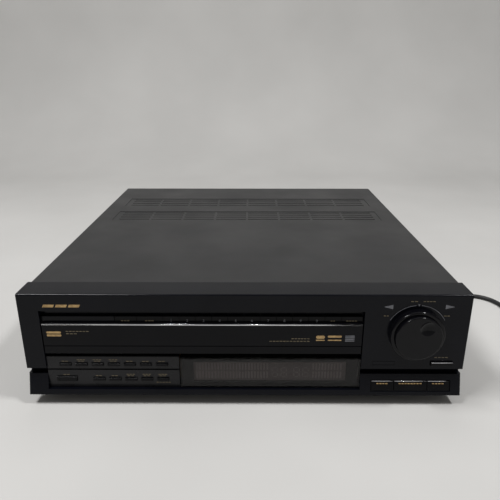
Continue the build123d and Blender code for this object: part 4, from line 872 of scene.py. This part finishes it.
tie_shape = bmesh.new()
rings = []
for x, grown_by in ((tie_x - TIE_WIDTH / 2, 0), (tie_x - TIE_WIDTH / 2, TIE_THICKNESS),
                    (tie_x + TIE_WIDTH / 2, TIE_THICKNESS), (tie_x + TIE_WIDTH / 2, 0)):
    rings.append([tie_shape.verts.new(at(x, y, z)) for y, z in tie_loop(grown_by)])
for ring, following in zip(rings, rings[1:] + rings[:1]):
    for step in range(len(ring)):
        after = (step + 1) % len(ring)
        tie_shape.faces.new((ring[step], ring[after], following[after], following[step]))
bmesh.ops.recalc_face_normals(tie_shape, faces=tie_shape.faces)
tie_mesh = bpy.data.meshes.new("lead_tie")
tie_shape.to_mesh(tie_mesh)
tie_shape.free()
tie_vinyl, shader = new_finish("tie_vinyl", 0.4, specular=0.4)
mottle(tie_vinyl, shader, tone(40, 40, 42), tone(50, 50, 52), 3)
adopt(tie_mesh, "lead_tie", "case", "cord_rubber", tie_vinyl)
print("tie %.1f by %.1f mm" % (tie_back - tie_front, tie_top))

# %% [markdown]
# ## The surface underneath
# A photographer's sweep: a pale sheet that lies flat under the player and curves up into
# the background, so there is no horizon line.  It keeps the contact shadow and nothing
# else.

# %% Sweep
SWEEP_FRONT = -4.0
SWEEP_BACK = 0.9
SWEEP_RADIUS = 0.5
SWEEP_TOP = 3.0
SWEEP_HALF = 6.0
SWEEP_STEPS = 16
profile = [(SWEEP_FRONT, 0.0)]
for step in range(SWEEP_STEPS + 1):
    turn = math.pi / 2 * step / SWEEP_STEPS
    profile.append((SWEEP_BACK + SWEEP_RADIUS * math.sin(turn),
                    SWEEP_RADIUS * (1 - math.cos(turn))))
profile.append((SWEEP_BACK + SWEEP_RADIUS, SWEEP_TOP))
sweep_mesh = bpy.data.meshes.new("pale_sweep")
points = [(x, y, z) for y, z in profile for x in (-SWEEP_HALF, SWEEP_HALF)]
quads = [(2 * row, 2 * row + 1, 2 * row + 3, 2 * row + 2) for row in range(len(profile) - 1)]
sweep_mesh.from_pydata(points, [], quads)
sweep_mesh.polygons.foreach_set("use_smooth", [True] * len(quads))
sweep_finish, shader = new_finish("pale_sweep", 0.8, specular=0.2)
mottle(sweep_finish, shader, tone(179, 178, 176), tone(185, 184, 182), 250)
sweep_mesh.materials.append(sweep_finish)
sweep = bpy.data.objects.new("pale_sweep", sweep_mesh)
bpy.context.scene.collection.objects.link(sweep)
print("sweep rows", len(profile))

# %% [markdown]
# ## Light
# The top is the palest face, the upper edges of the front sparkle at the left and the
# right and stay dark in the middle, and the front itself is nearly black.  So two narrow
# strip lamps stand above the camera's shoulders, whose reflections lie along the rounded
# edges.  A large weak one behind the top softens the shade, and a grey world fills it.

# %% Lamps and world
def area_lamp(name, place, target, width, height, watts):
    lamp_data = bpy.data.lights.new(name, "AREA")
    lamp_data.shape = "RECTANGLE"
    lamp_data.size = width
    lamp_data.size_y = height
    lamp_data.energy = watts
    lamp = bpy.data.objects.new(name, lamp_data)
    lamp.location = place
    aim = Vector(target) - Vector(place)
    lamp.rotation_euler = aim.to_track_quat("-Z", "Y").to_euler()
    bpy.context.scene.collection.objects.link(lamp)
    return lamp


area_lamp("left_shoulder_lamp", (-0.8, -0.5, 1.75), (0, 0, 0), 0.9, 0.16, 29)
area_lamp("right_shoulder_lamp", (1.05, -0.5, 1.75), (0, 0, 0), 0.4, 0.16, 22)
area_lamp("overhead_lamp", (0.05, 0.75, 2.3), (0, 0, 0), 1.6, 1.0, 6)
world = bpy.data.worlds.new("soft_room")
world.use_nodes = True
world.node_tree.nodes["Background"].inputs["Color"].default_value = tone(208, 206, 203)
world.node_tree.nodes["Background"].inputs["Strength"].default_value = 0.42
bpy.context.scene.world = world
bpy.context.scene.view_settings.view_transform = "Standard"
print("lamps", sorted(light.name for light in bpy.data.lights))
